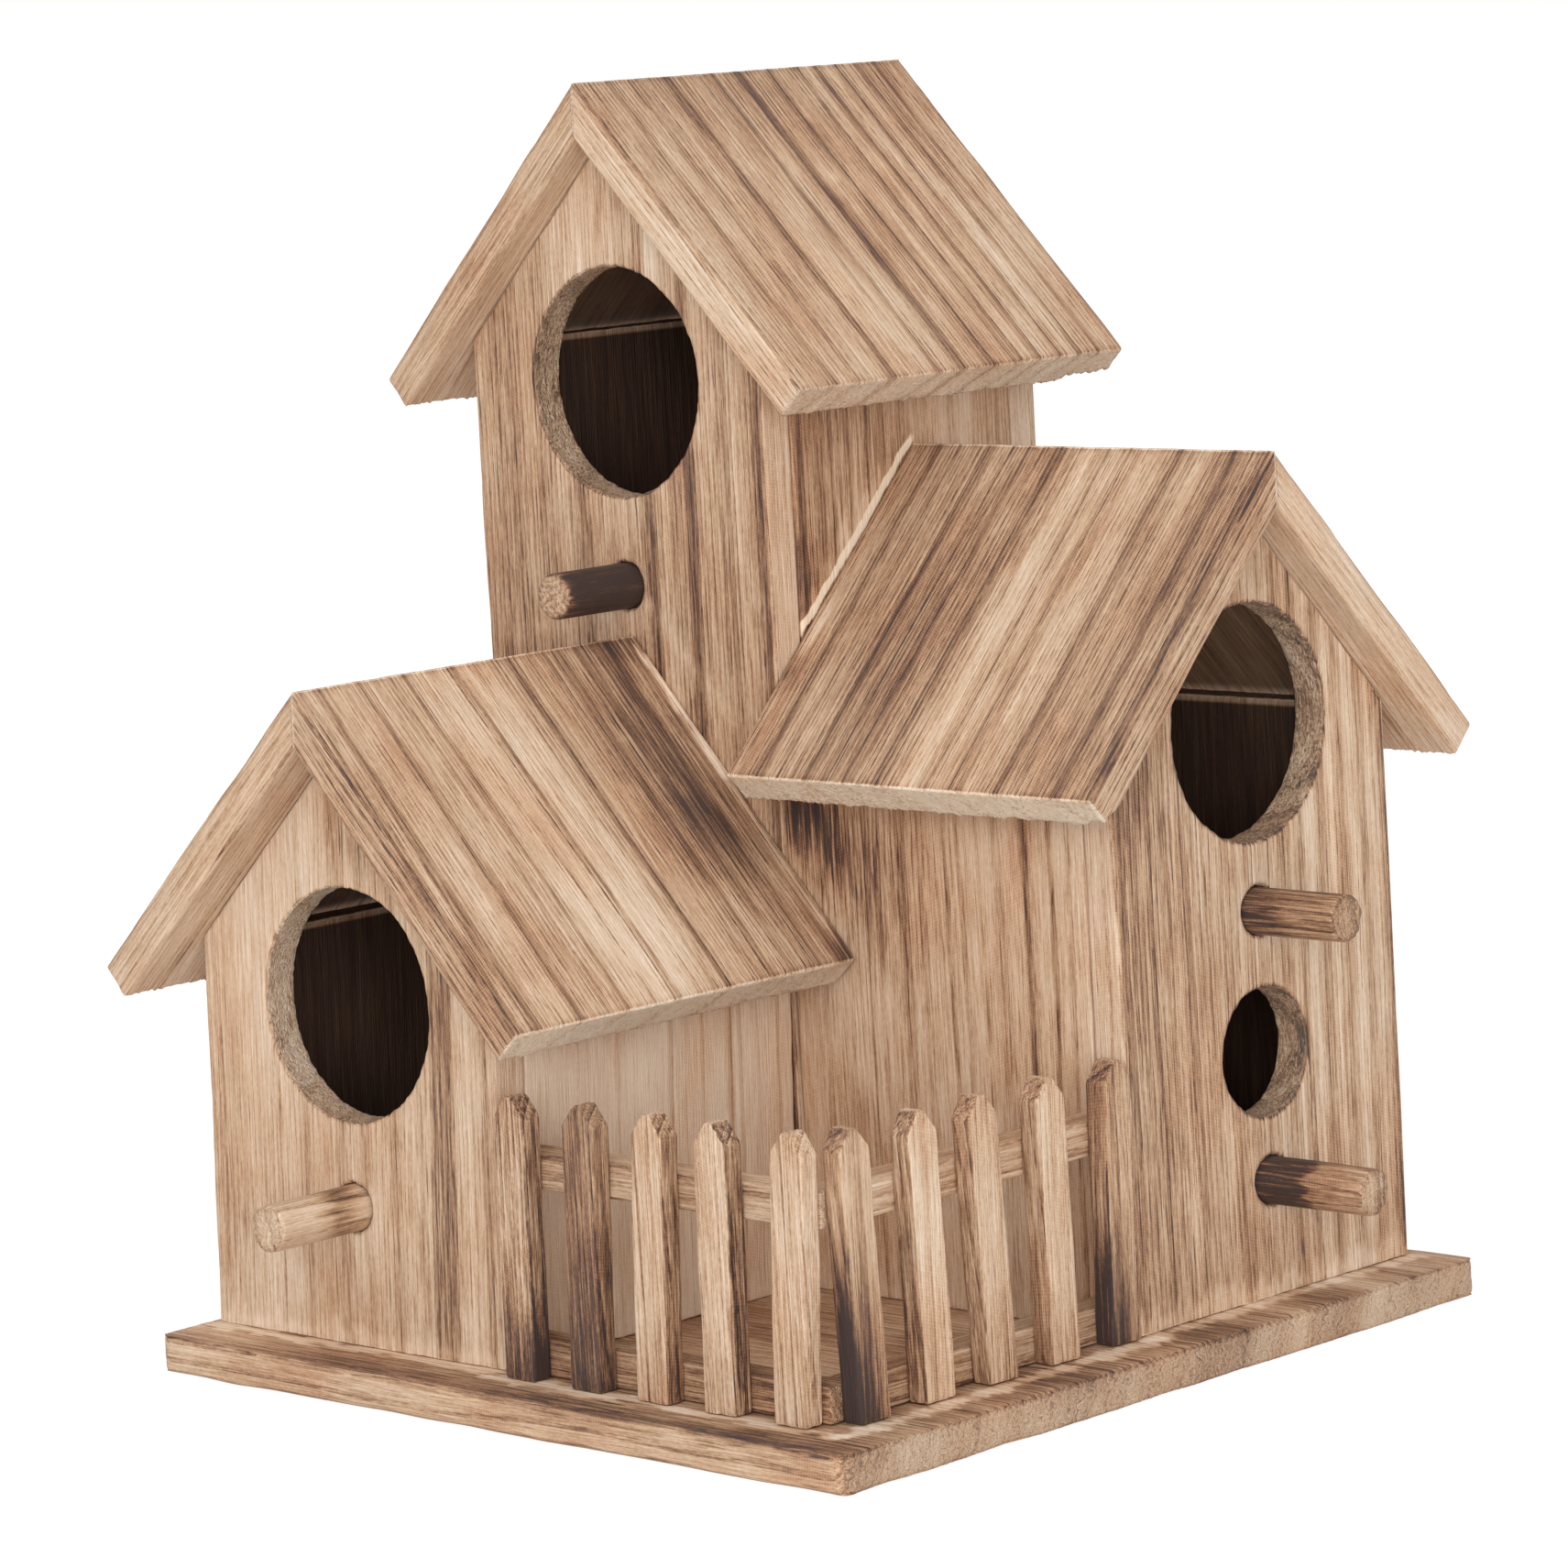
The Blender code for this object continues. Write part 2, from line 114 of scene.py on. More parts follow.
@dataclass
class Finish:
    """The scorched pattern of one board.

    tone runs from 0, pale wood, to 1, char. streaks are (place across, width, tone) in mm;
    patches are (across, along, half width, half length, change of tone); bands are
    (across, along, across, along, half width, change of tone) from one point to another.
    rub is one such band with crisp sides, rubbed down to bare wood.
    """
    tone: float
    streaks: list = field(default_factory=list)
    patches: list = field(default_factory=list)
    bands: list = field(default_factory=list)
    seed: int = 1
    slant: float = 0.6
    edge_tone: float = -0.12
    side_tone: float = 0.34
    inner_tone: float = -0.15
    # Paler sawn ends: pale end grain, and on the down-facing eave ends also painted fill light
    end_tone: float = -0.18
    band_jag: float = 0.8
    arris_tone: float = 0.10
    rim_tone: float = 0.0
    bore_tone: float = 0.10
    # How strongly wood inside a chamber is darkened as painted shade
    gloom: float = 0.62
    ring_spacing: float = 1.4
    ring_strength: float = 0.22
    dash_strength: float = 0.14
    wander: float = 0.6
    contrast: float = 1.0
    warmth: float = 0.0
    rub: tuple = ()


@dataclass
class Board:
    """One board in its own millimetres: across the grain, along it, and in from its outer face.

    start and end give its two sawn ends along the grain, for places across it and in from its face.
    holes are (across, along, radius), from the lowest up; creases are extra columns; rounded says how
    worn its first side, second side, start and end are, and ragged how torn its start and end are;
    chips are (start, end, depth) across its far end.
    """
    name: str
    node: str
    origin: Vector
    across: Vector
    along: Vector
    inward: Vector
    width: tuple
    start: object
    end: object
    thickness: float
    finish: Finish
    holes: list = field(default_factory=list)
    creases: list = field(default_factory=list)
    rounded: tuple = (1.0, 1.0, 1.0, 1.0)
    ragged: tuple = (0.0, 0.0)
    chips: list = field(default_factory=list)
    corner: float = 0.0
    wear: float = 1.0
    face_pitch: float = FACE_PITCH
    length_pitch: float = LENGTH_PITCH


def square_cut(height):
    """A sawn end at one height."""
    return lambda across, depth: height + 0.0 * across


def stations(start, end, pitch):
    """Stations from start to end, close together near both ends and even between."""
    lines = np.array(ARRIS_LINES)
    count = max(1, round((end - start - 2 * lines[-1]) / pitch))
    middle = np.linspace(start + lines[-1], end - lines[-1], count + 1)
    return np.concatenate([start + lines[:-1], middle, (end - lines[:-1])[::-1]])


def column_stations(board):
    """Where the lattice's columns stand: even, but following every hole's curve."""
    low, high = board.width
    fixed = [low, high, *board.creases]
    wanted = list(stations(low, high, board.face_pitch))
    for centre, _, radius in board.holes:
        fixed += [centre - radius, centre + radius, centre]
        steps = max(FEWEST_HOLE_COLUMNS, round(math.pi * radius / board.face_pitch))
        wanted += list(centre - radius * np.cos(np.linspace(0.0, math.pi, steps + 1)))
        wanted += [centre + side * (radius + off) for side in (-1, 1) for off in ARRIS_LINES[1:]]
    kept = sorted(set(fixed))
    for place in sorted(wanted):
        close = min(place - low, high - place) < NEAR_SIDE or any(
            abs(abs(place - centre) - radius) < NEAR_FLANK for centre, _, radius in board.holes)
        gap = NARROWEST_COLUMN if close else NARROWEST_SHARE * board.face_pitch
        if low < place < high and min(abs(place - other) for other in kept) > gap:
            kept.append(place)
    return np.array(sorted(kept))


def row_heights(board, columns, layers):
    """Heights of every lattice point along the grain, and the last row below each hole."""
    across, depth = columns[:, None], layers[None, :]
    flat = 0.0 * across + 0.0 * depth
    starts, ends = [board.start(across, depth)], []
    for centre, height, radius in board.holes:
        half = np.sqrt(np.clip(radius ** 2 - (across - centre) ** 2, 0.0, None))
        ends.append(height - half)
        starts.append(height + half)
    ends.append(board.end(across, depth))
    *lines, last = ARRIS_LINES
    rows, lips = [], []
    for low, high in zip(starts, ends):
        low, high = low + flat, high + flat
        length = high - low
        steps = max(2, round(float(length.max()) / board.length_pitch))
        rows += [low + line for line in lines]
        rows += [low + last + share * (length - 2 * last) for share in np.linspace(0.0, 1.0, steps + 1)]
        rows += [high - line for line in reversed(lines)]
        lips.append(len(rows) - 1)
    return np.stack(rows, axis=1), lips[:-1]


def lattice_faces(shape, board, columns, lips):
    """Outward quads of the board's skin, over indices of the full lattice."""
    number = np.arange(np.prod(shape)).reshape(shape)
    inside = []
    for lip, (centre, _, radius) in zip(lips, board.holes):
        within = np.abs(columns - centre) < radius - 1e-6
        number[~within, lip + 1, :] = number[~within, lip, :]
        inside.append(within)
    solid_rows = [row for row in range(shape[1] - 1) if row not in lips]

    def quads(grid, turned):
        corners = [grid[:-1, :-1], grid[1:, :-1], grid[1:, 1:], grid[:-1, 1:]]
        return np.stack(corners[::-1] if turned else corners, axis=-1)

    faces = [quads(number[:, :, 0], True)[:, solid_rows], quads(number[:, :, -1], False)[:, solid_rows],
             quads(number[0], True)[solid_rows], quads(number[-1], False)[solid_rows],
             quads(number[:, 0], False), quads(number[:, -1], True)]
    for lip, within in zip(lips, inside):
        spans = within[:-1] | within[1:]
        faces += [quads(number[:, lip], True)[spans], quads(number[:, lip + 1], False)[spans]]
    return np.concatenate([group.reshape(-1, 4) for group in faces])


def streak_profile(finish, place):
    """Tone of the streaks alone at places across the grain."""
    tone = np.full(place.shape, finish.tone)
    for centre, width, strength in finish.streaks:
        away = place - centre
        fade = np.where(away < 0.0, *STREAK_FADE) * width
        tone = tone + np.exp(-(away / fade) ** 2) * (strength - tone)
    return tone


def scorch_change(board, across, along, depth, edge, end):
    """How much darker or paler than its streaks the wood is at each point."""
    finish, seed = board.finish, board.finish.seed
    outer = 1.0 - smooth_step(depth / board.thickness, 0.05, 0.5)
    fray = noise(across * 0.9, along * 0.10, depth * 0.3, seed + 31)
    jag = noise(across * 0.75, along * 0.22, depth * 0.3, seed + 33)
    change = np.zeros(across.shape)
    for centre, height, half_width, half_length, shift in finish.patches:
        reach = ((across - centre) / half_width) ** 2 + ((along - height) / half_length) ** 2
        change += shift * outer * np.exp(-reach * (1.0 + 0.45 * fray))
    for from_across, from_along, to_across, to_along, half, shift in finish.bands:
        run = np.array([to_across - from_across, to_along - from_along])
        past = [across - from_across, along - from_along]
        share = np.clip((past[0] * run[0] + past[1] * run[1]) / (run @ run), 0.0, 1.0)
        away = np.hypot(past[0] - share * run[0], past[1] - share * run[1])
        change += shift * outer * (1.0 - smooth_step(away / half + finish.band_jag * jag, 0.5, 1.2))
    change += finish.inner_tone * (1.0 - outer) * (1.0 - edge)
    # Sawn ends are made paler: pale end grain, and partly painted fill light where roof ends face down
    change += finish.edge_tone * edge + finish.end_tone * smooth_step(end, 0.6, 0.1)
    side = np.minimum(np.minimum(across - board.width[0], board.width[1] - across), end)
    arris = np.exp(-(np.hypot(side, depth) / 0.8) ** 2)
    change += finish.arris_tone * arris * (0.8 + 0.6 * fray)
    return change


# How much of a chamber's painted shade lies on the joint between its walls and its roof, and how far from
# it
JOINT_SHADE = 0.35
JOINT_REACH = (0.7, 1.0)
# How far past a chamber's own walls its painted shade is taken, in mm, so that no point is left out
SHADE_SLACK = 0.4


def painted_chamber_shade(place, sizes):
    """How much painted shade each point, in mm, gets: 1 in a nest chamber and on its walls, less on its
    joints.
    """
    share = np.zeros(len(place))
    thickness = sizes.board_thickness / MM
    wall = thickness - SHADE_SLACK
    for house in houses(sizes).values():
        away = place - np.array(house.corner)
        height = away[:, 2]
        across = away @ np.array(house.right) - height * math.tan(house.lean)
        depth = away @ np.array(house.back)
        between = (across > wall) & (across < house.width - wall)
        # Over the walls' tops the roof boards close the chamber
        wall_tops = [height_under_roof(house, sizes, np.array(far)) for far in (0.0, house.width)]
        above = height - np.where(across < house.width / 2, *wall_tops)
        inset = np.minimum(across, house.width - across)
        over = (above > -SHADE_SLACK) & (inset > 0.0)
        joint = (np.abs(inset - thickness) < JOINT_REACH[0]) & (np.abs(above) < JOINT_REACH[1])
        behind = house.depth + (SHADE_SLACK - thickness if house.closed_back else 2 * SHADE_SLACK)
        ceiling = height_under_roof(house, sizes, across) + 3 * SHADE_SLACK
        inside = ((between | over) & (depth > wall) & (depth < behind)
                  & (height > -SHADE_SLACK) & (height < ceiling))
        share = np.maximum(share, inside * np.where(joint, JOINT_SHADE, 1.0))
    return share


def worn_bores(board, settings, across, along, depth, wear):
    """Pull into each bore's worn rim, closeness to a bore, and the points moved by its torn fibres."""
    pull_across, pull_along, bore = (np.zeros(across.shape) for _ in range(3))
    for centre, height, radius in board.holes:
        away = np.hypot(across - centre, along - height)
        near = np.clip(1.0 - (away - radius) / wear, 0.0, 1.0)
        pull_across -= near * (across - centre) / away
        pull_along -= near * (along - height) / away
        bore = np.maximum(bore, np.exp(-((away - radius) / 0.35) ** 2))
        fuzz = noise((across - centre) * 0.9, (along - height) * 0.9, depth * 1.1, board.finish.seed + 9)
        torn = np.exp(-((away - radius) / 0.5) ** 2) * fuzz * settings.bore_roughness / MM
        across = across + torn * (across - centre) / away
        along = along + torn * (along - height) / away
    return pull_across, pull_along, bore, across, along


# How far a chip runs out to its sides and up the grain, in mm
CHIP_FLANK = 2.5
CHIP_LENGTH = 5.0


def tear_ends(board, moved, across, along, depth, start, end):
    """Splinters both sawn ends and bites the chips out of the far one, on the inner side."""
    inner = depth / board.thickness
    seed = board.finish.seed
    splinters = np.abs(noise(across * 1.6, 0.0 * across, depth * 0.35, seed + 7)) ** 1.5
    lower = 0.25 + 0.75 * smooth_step(inner, 0.3, 1.0)
    for way, amount, distance in ((-1.0, board.ragged[0], along - start),
                                  (1.0, board.ragged[1], end - along)):
        moved[1] = moved[1] + way * amount * splinters * lower * smooth_step(distance, 1.5, 0.0)
        torn = amount * (splinters - 0.15) * smooth_step(distance, 1.2, 0.0)
        moved[2] = moved[2] + torn * smooth_step(inner, 0.75, 1.0)
    for chip_start, chip_end, bite in board.chips:
        within = (smooth_step(across, chip_start, chip_start + CHIP_FLANK)
                  * smooth_step(across, chip_end + CHIP_FLANK, chip_end))
        rough = 1.0 + 0.5 * noise(across * 0.8, along * 0.8, 0.0 * depth, seed + 12)
        moved[2] = moved[2] - (bite * rough * within * smooth_step(end - along, CHIP_LENGTH, 0.0)
                               * smooth_step(inner, 0.2, 1.0))


def build_board(board, settings, sizes):
    """The board's closed mesh, with its scorch and end grain kept as attributes."""
    columns = column_stations(board)
    layers = stations(0.0, board.thickness, LAYER_PITCH)
    along, lips = row_heights(board, columns, layers)
    faces = lattice_faces(along.shape, board, columns, lips)
    grids = np.broadcast_arrays(columns[:, None, None], along, layers[None, None, :])
    used, faces = np.unique(faces, return_inverse=True)
    across, along, depth = (grid.reshape(-1)[used].astype(float) for grid in grids)
    start, end = board.start(across, depth), board.end(across, depth)
    seed = board.finish.seed
    broad = noise(across * 0.09, along * 0.09, depth * 0.2, seed)
    wear = board.wear * settings.arris_wear / MM * (1.0 + 0.55 * broad)
    wear += 0.5 * np.clip(noise(across * 0.3, along * 0.3, depth * 0.3, seed + 5) - 0.55, 0.0, None)

    def pull(before, after, shares):
        """How far each point lies into the rounding of one of two opposite sides, and its size."""
        size = wear * np.where(after < before, shares[1], shares[0])
        into = np.clip(1.0 - np.minimum(before, after) / np.maximum(size, 1e-6), 0.0, None)
        return np.sign(before - after) * into * (size > 0.0), size

    pulls, sizes_worn = zip(pull(across - board.width[0], board.width[1] - across, board.rounded[:2]),
                            pull(along - start, end - along, board.rounded[2:]),
                            pull(depth, board.thickness - depth, (1.0, 1.0)))
    pull_across, pull_along, bore, across, along = worn_bores(board, settings, across, along, depth, wear)
    pulls = [pulls[0] + pull_across, pulls[1] + pull_along, pulls[2]]
    reach = np.maximum(np.sqrt(sum(part ** 2 for part in pulls)), 1e-6)
    shrink = np.minimum(1.0 / reach - 1.0, 0.0)
    outward = [part / reach for part in pulls]
    to_side = np.minimum(across - board.width[0], board.width[1] - across)
    to_end = np.minimum(along - start, end - along)
    side_share, end_share = smooth_step(to_side, 0.6, 0.1), smooth_step(to_end, 0.6, 0.1)

    # Rounded corners of the face: points beyond the corner's circle are drawn back onto it
    into = [np.clip(board.corner - gap, 0.0, None) for gap in (to_side, to_end)]
    cut = np.clip(1.0 - board.corner / np.maximum(np.hypot(*into), 1e-6), 0.0, None)
    cuts = [cut * into[0] * np.sign(sum(board.width) / 2 - across),
            cut * into[1] * np.sign((start + end) / 2 - along), 0.0]

    # Grain: fine and broad ridges, raised dark streaks and a slightly uneven face
    relief = (0.40 * noise(across * 0.80, along * 0.035, depth * 0.8, seed + 1)
              + 0.35 * noise(across * 0.30, along * 0.015, depth * 0.3, seed + 2)
              + 0.25 * noise(across * 0.03, along * 0.02, depth * 0.03, seed + 3)
              + 0.9 * (streak_profile(board.finish, across) - board.finish.tone))
    relief *= settings.grain_relief / MM
    moved = [place + part * size * shrink + way * relief + drawn for place, part, size, way, drawn
             in zip((across, along, depth), pulls, sizes_worn, outward, cuts)]
    tear_ends(board, moved, across, along, depth, start, end)

    ways = (board.across, board.along, board.inward)
    place = np.array(board.origin)[None, :] / MM + sum(
        distance[:, None] * np.array(way) for distance, way in zip(moved, ways))
    faces = faces.reshape(-1, 4)
    if board.across.cross(board.along).dot(board.inward) < 0:
        faces = faces[:, ::-1]
    finish = board.finish
    scorch = scorch_change(board, across, along, depth, np.maximum(end_share, side_share), to_end)
    scorch += finish.rim_tone * (bore > 0.02) * np.exp(-(depth / 2.0) ** 2) + finish.bore_tone * bore
    upright = 1.0 - np.abs(outward[2])
    # Points inside a chamber carry its painted shade as an attribute
    return make_mesh(board.name, place * MM, faces.tolist(), {
        "scorch": scorch, "end_grain": np.maximum(end_share, bore) * upright,
        "soot": finish.gloom * painted_chamber_shade(place, sizes), "bored": bore * upright,
        "side_grain": side_share * (1.0 - end_share) * upright})


def make_mesh(name, places, faces, attributes):
    """A smooth mesh from places in metres, lists of corners and a value for each point."""
    mesh = bpy.data.meshes.new(name)
    mesh.from_pydata(places.tolist(), [], faces)
    for label, values in attributes.items():
        layer = mesh.attributes.new(label, "FLOAT", "POINT")
        layer.data.foreach_set("value", np.asarray(values, np.float32))
    mesh.polygons.foreach_set("use_smooth", [True] * len(mesh.polygons))
    mesh.update()
    return mesh


# Materials

class Graph:
    """A small helper that adds and joins nodes of one tree."""

    def __init__(self, tree):
        self.tree = tree

    def node(self, kind, inputs=None, **settings):
        made = self.tree.nodes.new(kind)
        for key, value in settings.items():
            setattr(made, key, value)
        for key, value in (inputs or {}).items():
            self.put(made.inputs[key], value)
        return made

    def put(self, socket, value):
        if isinstance(value, bpy.types.NodeSocket):
            self.tree.links.new(value, socket)
        else:
            socket.default_value = value

    def math(self, operation, *values, clamp=False):
        made = self.node("ShaderNodeMath", operation=operation, use_clamp=clamp)
        for socket, value in zip(made.inputs, (*values, 0.0, 0.0)):
            self.put(socket, value)
        return made.outputs[0]

    def product(self, first, second, plus=None):
        """One value times another, and a third added where it is given."""
        if plus is None:
            return self.math("MULTIPLY", first, second)
        return self.math("MULTIPLY_ADD", first, second, plus)

    def total(self, first, *others):
        for other in others:
            first = self.math("ADD", first, other)
        return first

    def vector(self, operation, first, second=(0.0, 0.0, 0.0)):
        return self.node("ShaderNodeVectorMath", {0: first, 1: second}, operation=operation).outputs[0]

    def dot(self, first, second):
        made = self.node("ShaderNodeVectorMath", {0: first, 1: second}, operation="DOT_PRODUCT")
        return made.outputs["Value"]

    def scaled(self, vector, amount):
        made = self.node("ShaderNodeVectorMath", {0: vector, "Scale": amount}, operation="SCALE")
        return made.outputs[0]

    def split(self, vector):
        return self.node("ShaderNodeSeparateXYZ", {"Vector": vector}).outputs

    def combine(self, x, y, z):
        return self.node("ShaderNodeCombineXYZ", {"X": x, "Y": y, "Z": z}).outputs[0]

    def raw_noise(self, vector, scale=1.0, detail=2.0, **inputs):
        """Blender's own noise, from 0 to 1."""
        return self.node("ShaderNodeTexNoise", {"Vector": vector, "Scale": scale, "Detail": detail,
                                                **inputs}).outputs["Fac"]

    def noise(self, vector, stretch, detail=2.0, roughness=0.55):
        """Noise with so many waves per mm along each axis."""
        return self.raw_noise(self.vector("MULTIPLY", vector, stretch), detail=detail, Roughness=roughness)

    def spread(self, value, low, high, to_low=0.0, to_high=1.0):
        """The value carried from one range to another and held at its ends."""
        made = self.node("ShaderNodeMapRange", {"Value": value, "From Min": low, "From Max": high,
                                                "To Min": to_low, "To Max": to_high})
        return made.outputs["Result"]

    def attribute(self, name):
        return self.node("ShaderNodeAttribute", attribute_name=name).outputs["Fac"]

    def ramp(self, place, stops):
        made = self.node("ShaderNodeValToRGB", {"Fac": place})
        set_ramp(made.color_ramp, stops)
        return made.outputs[0]

    def mix(self, share, first, second):
        return self.node("ShaderNodeMix", {0: share, 2: first, 3: second}).outputs[0]

    def mix_colours(self, share, first, second, blend="MIX"):
        made = self.node("ShaderNodeMix", {0: share, 6: first, 7: second}, data_type="RGBA",
                         blend_type=blend)
        return made.outputs[2]


def set_ramp(ramp, stops):
    """Fills a colour ramp from (place, value or colour) stops in order."""
    while len(ramp.elements) > 1:
        ramp.elements.remove(ramp.elements[-1])
    for index, (place, colour) in enumerate(stops):
        if isinstance(colour, float):
            colour = (colour, colour, colour)
        element = ramp.elements[0] if index == 0 else ramp.elements.new(place)
        element.position = place
        element.color = (*colour, 1.0)


def new_group(kind, name, inputs, outputs):
    """A node group with (name, socket type, default) inputs and (name, socket type) outputs."""
    group = bpy.data.node_groups.new(name, kind)
    for label, socket_type, default in inputs:
        socket = group.interface.new_socket(label, in_out="INPUT", socket_type=f"NodeSocket{socket_type}")
        if default is not None:
            socket.default_value = default
    for label, socket_type in outputs:
        group.interface.new_socket(label, in_out="OUTPUT", socket_type=f"NodeSocket{socket_type}")
    graph = Graph(group)
    return group, graph, graph.node("NodeGroupInput").outputs, graph.node("NodeGroupOutput").inputs


def grain_place_group():
    """Where a point lies across the growth rings: it wanders along the grain and leans with depth."""
    group, graph, given, result = new_group(
        "ShaderNodeTree", "grain_place",
        [("Board", "Vector", None), ("Seed", "Vector", None), ("Slant", "Float", 0.6),
         ("Wander", "Float", 1.0)],
        [("Across", "Float"), ("Grain", "Vector")])
    grain = graph.vector("ADD", given["Board"], given["Seed"])
    split = graph.split(given["Board"])
    slow = graph.spread(graph.noise(grain, (0.03, 0.03, 0.009), 0.0), 0.0, 1.0, -3.0, 3.0)
    quick = graph.spread(graph.noise(grain, (0.14, 0.14, 0.022), 0.0), 0.0, 1.0, -0.8, 0.8)
    drift = graph.product(graph.total(slow, quick), given["Wander"])
    lean = graph.product(split["Y"], given["Slant"])
    graph.put(result["Across"], graph.total(split["X"], drift, lean))
    graph.put(result["Grain"], grain)
    return group


# How far below 0 the tone of bare, unburnt wood may go
BARE_DEPTH = 0.25
# Colours laid over the burnt wood: honey in its blotches, red where it is warm, dust on sawn ends,
# and black as painted shade deep inside a chamber
HONEY = (0.62, 0.29, 0.11, 1.0)
RUDDY = (1.0, 0.72, 0.50, 1.0)
DUST = (0.52, 0.41, 0.30, 1.0)
BLACK = (0.0, 0.0, 0.0, 1.0)
# Tone that all wood comes close to inside a chamber, as painted shade, before it is darkened further
CHAMBER_SHADE_TONE = 0.36


def torched_wood_group(colours):
    """Colour, roughness and height of torched wood for a streak tone."""
    group, graph, given, result = new_group(
        "ShaderNodeTree", "torched_wood",
        [("Grain", "Vector", None), ("Across", "Float", 0.0), ("Tone", "Float", 0.4),
         ("Ring Spacing", "Float", 1.4), ("Ring Strength", "Float", 0.16),
         ("Dash Strength", "Float", 0.22), ("Contrast", "Float", 1.0), ("Warmth", "Float", 0.0),
         ("Side Tone", "Float", 0.3)],
        [("Color", "Color"), ("Roughness", "Float"), ("Height", "Float")])
    product, spread, grain = graph.product, graph.spread, given["Grain"]

    def grain_noise(stretch, *settings):
        return graph.noise(grain, stretch, *settings)

    scorch, soot, bored, side = (graph.attribute(name)
                                 for name in ("scorch", "soot", "bored", "side_grain"))
    end = spread(graph.attribute("end_grain"), 0.2, 0.75)

    # Growth rings: each darkens slowly and ends sharply, and no two are quite alike
    waves = spread(grain_noise((0.30, 0.42, 0.1), 1.0), 0.2, 0.8, -1.8, 1.8)
    across = product(waves, end, given["Across"])
    band = graph.node("ShaderNodeTexNoise", {"W": across, "Scale": 0.37, "Detail": 1.0},
                      noise_dimensions="1D").outputs["Fac"]
    phase = product(band, 1.2, graph.math("DIVIDE", across, given["Ring Spacing"]))
    ring = graph.math("POWER", graph.math("FRACT", phase), 2.4)
    ring_weight = product(given["Ring Strength"], spread(band, 0.3, 0.7, 0.4, 1.7))
    dotted = spread(grain_noise((1.5, 1.5, 0.42), 1.0), 0.38, 0.62, 0.35, 1.0)
    rings = product(product(ring, dotted, -0.2), ring_weight)
    pinstripe = graph.math("SUBTRACT", graph.math("FRACT", product(phase, 2.7)), 0.5)
    pinstripe = product(product(pinstripe, dotted), product(ring_weight, product(end, 0.8, 0.55)))

    # Dashes and ticks, where the flame caught raised fibres
    caught = spread(grain_noise((1.0, 1.0, 0.075), 1.0), 0.46, 0.57)
    streaky = spread(grain_noise((1.1, 1.1, 0.05), 1.0), 0.36, 0.64, 0.62, 1.28)
    plain = graph.mix(side, given["Tone"], given["Side Tone"])
    # Painted shade inside the chambers: the tone is drawn towards a dark chamber tone, then darkened
    # further with fainter marks, and at its deepest mixed with black
    plain = graph.mix(spread(soot, 0.0, 0.4, 0.0, 0.8), plain, CHAMBER_SHADE_TONE)
    burnt = product(scorch, streaky, plain)
    dash_weight = product(given["Dash Strength"], spread(burnt, 0.18, 0.55, 0.20, 1.25))
    dashes = product(product(ring, caught), dash_weight)
    ticks = product(spread(grain_noise((2.3, 2.3, 0.12), 1.0), 0.56, 0.65), product(dash_weight, 0.75))

    # Fibres, stipple, broad blotches, and faint marks of the saw across the grain
    fibre = grain_noise((3.6, 3.6, 0.09), 1.0)
    stipple = grain_noise((2.8, 2.8, 0.9), 1.0)
    blotch = grain_noise((0.075, 0.075, 0.03), 2.0, 0.6)
    saw = graph.math("SINE", product(given["Across"], 3.1, product(graph.split(grain)["Z"], 9.5)))
    saw = product(saw, spread(blotch, 0.4, 0.6, 0.0, 0.03))
    marks = graph.total(-0.03, rings, pinstripe, dashes, ticks, saw, spread(fibre, 0.35, 0.65, -0.12, 0.12),
                        spread(stipple, 0.35, 0.65, -0.05, 0.05), spread(blotch, 0.25, 0.75, -0.11, 0.11))
    marks = product(marks, product(given["Contrast"], spread(soot, 0.0, 0.4, 1.0, 0.25)))
    tone = graph.total(burnt, soot, marks)

    # Sawn ends and bores are speckled by their open pores
    speckle = grain_noise((1.9, 1.9, 1.1), 2.0, 0.75)
    speckled = product(spread(speckle, 0.35, 0.65, -0.24, 0.18), spread(bored, 0.0, 1.0, 0.42, 1.0))
    tone = graph.mix(end, tone, graph.total(product(tone, 0.9, -0.03), speckled))
    tone = graph.math("MAXIMUM", graph.math("MINIMUM", tone, 1.0), -BARE_DEPTH)

    colour = graph.ramp(spread(tone, -BARE_DEPTH, 1.0), colours)
    colour = graph.mix_colours(spread(blotch, 0.4, 0.7, 0.0, 0.14), colour, HONEY, "OVERLAY")
    colour = graph.mix_colours(given["Warmth"], colour, RUDDY, "MULTIPLY")
    colour = graph.mix_colours(product(end, 0.18), colour, DUST)
    # Painted shade: black deep inside the chambers
    colour = graph.mix_colours(spread(soot, 0.5, 0.62, 0.0, 0.45), colour, BLACK)
    graph.put(result["Color"], colour)
    graph.put(result["Roughness"], spread(tone, 0.0, 1.0, 0.78, 0.62))
    height = product(fibre, 1.2, product(ring, 0.4))
    graph.put(result["Height"], product(speckle, product(end, 4.0), height))
    return group


def streak_stops(finish, low, high):
    """Ramp stops that draw the finish's streaks between two places across the grain."""
    places = {low, high}
    for centre, width, _ in finish.streaks:
        places |= {centre + share * width for share in (-1.1, -0.45, 0.05, 0.5)}
    inside = sorted(place for place in places if low <= place <= high)
    tones = streak_profile(finish, np.array(inside))
    return [((place - low) / (high - low), float(tone)) for place, tone in zip(inside, tones)]


def board_frame(across, along, inward, origin):
    """Turn and shift that take a point in metres to board millimetres, and the side that is inward."""
    z = along.normalized()
    x = (across - across.dot(z) * z).normalized()
    y = z.cross(x)
    turn = Matrix((x, y, z))
    return turn, -(turn @ origin) / MM, 1.0 if y.dot(inward) > 0 else -1.0


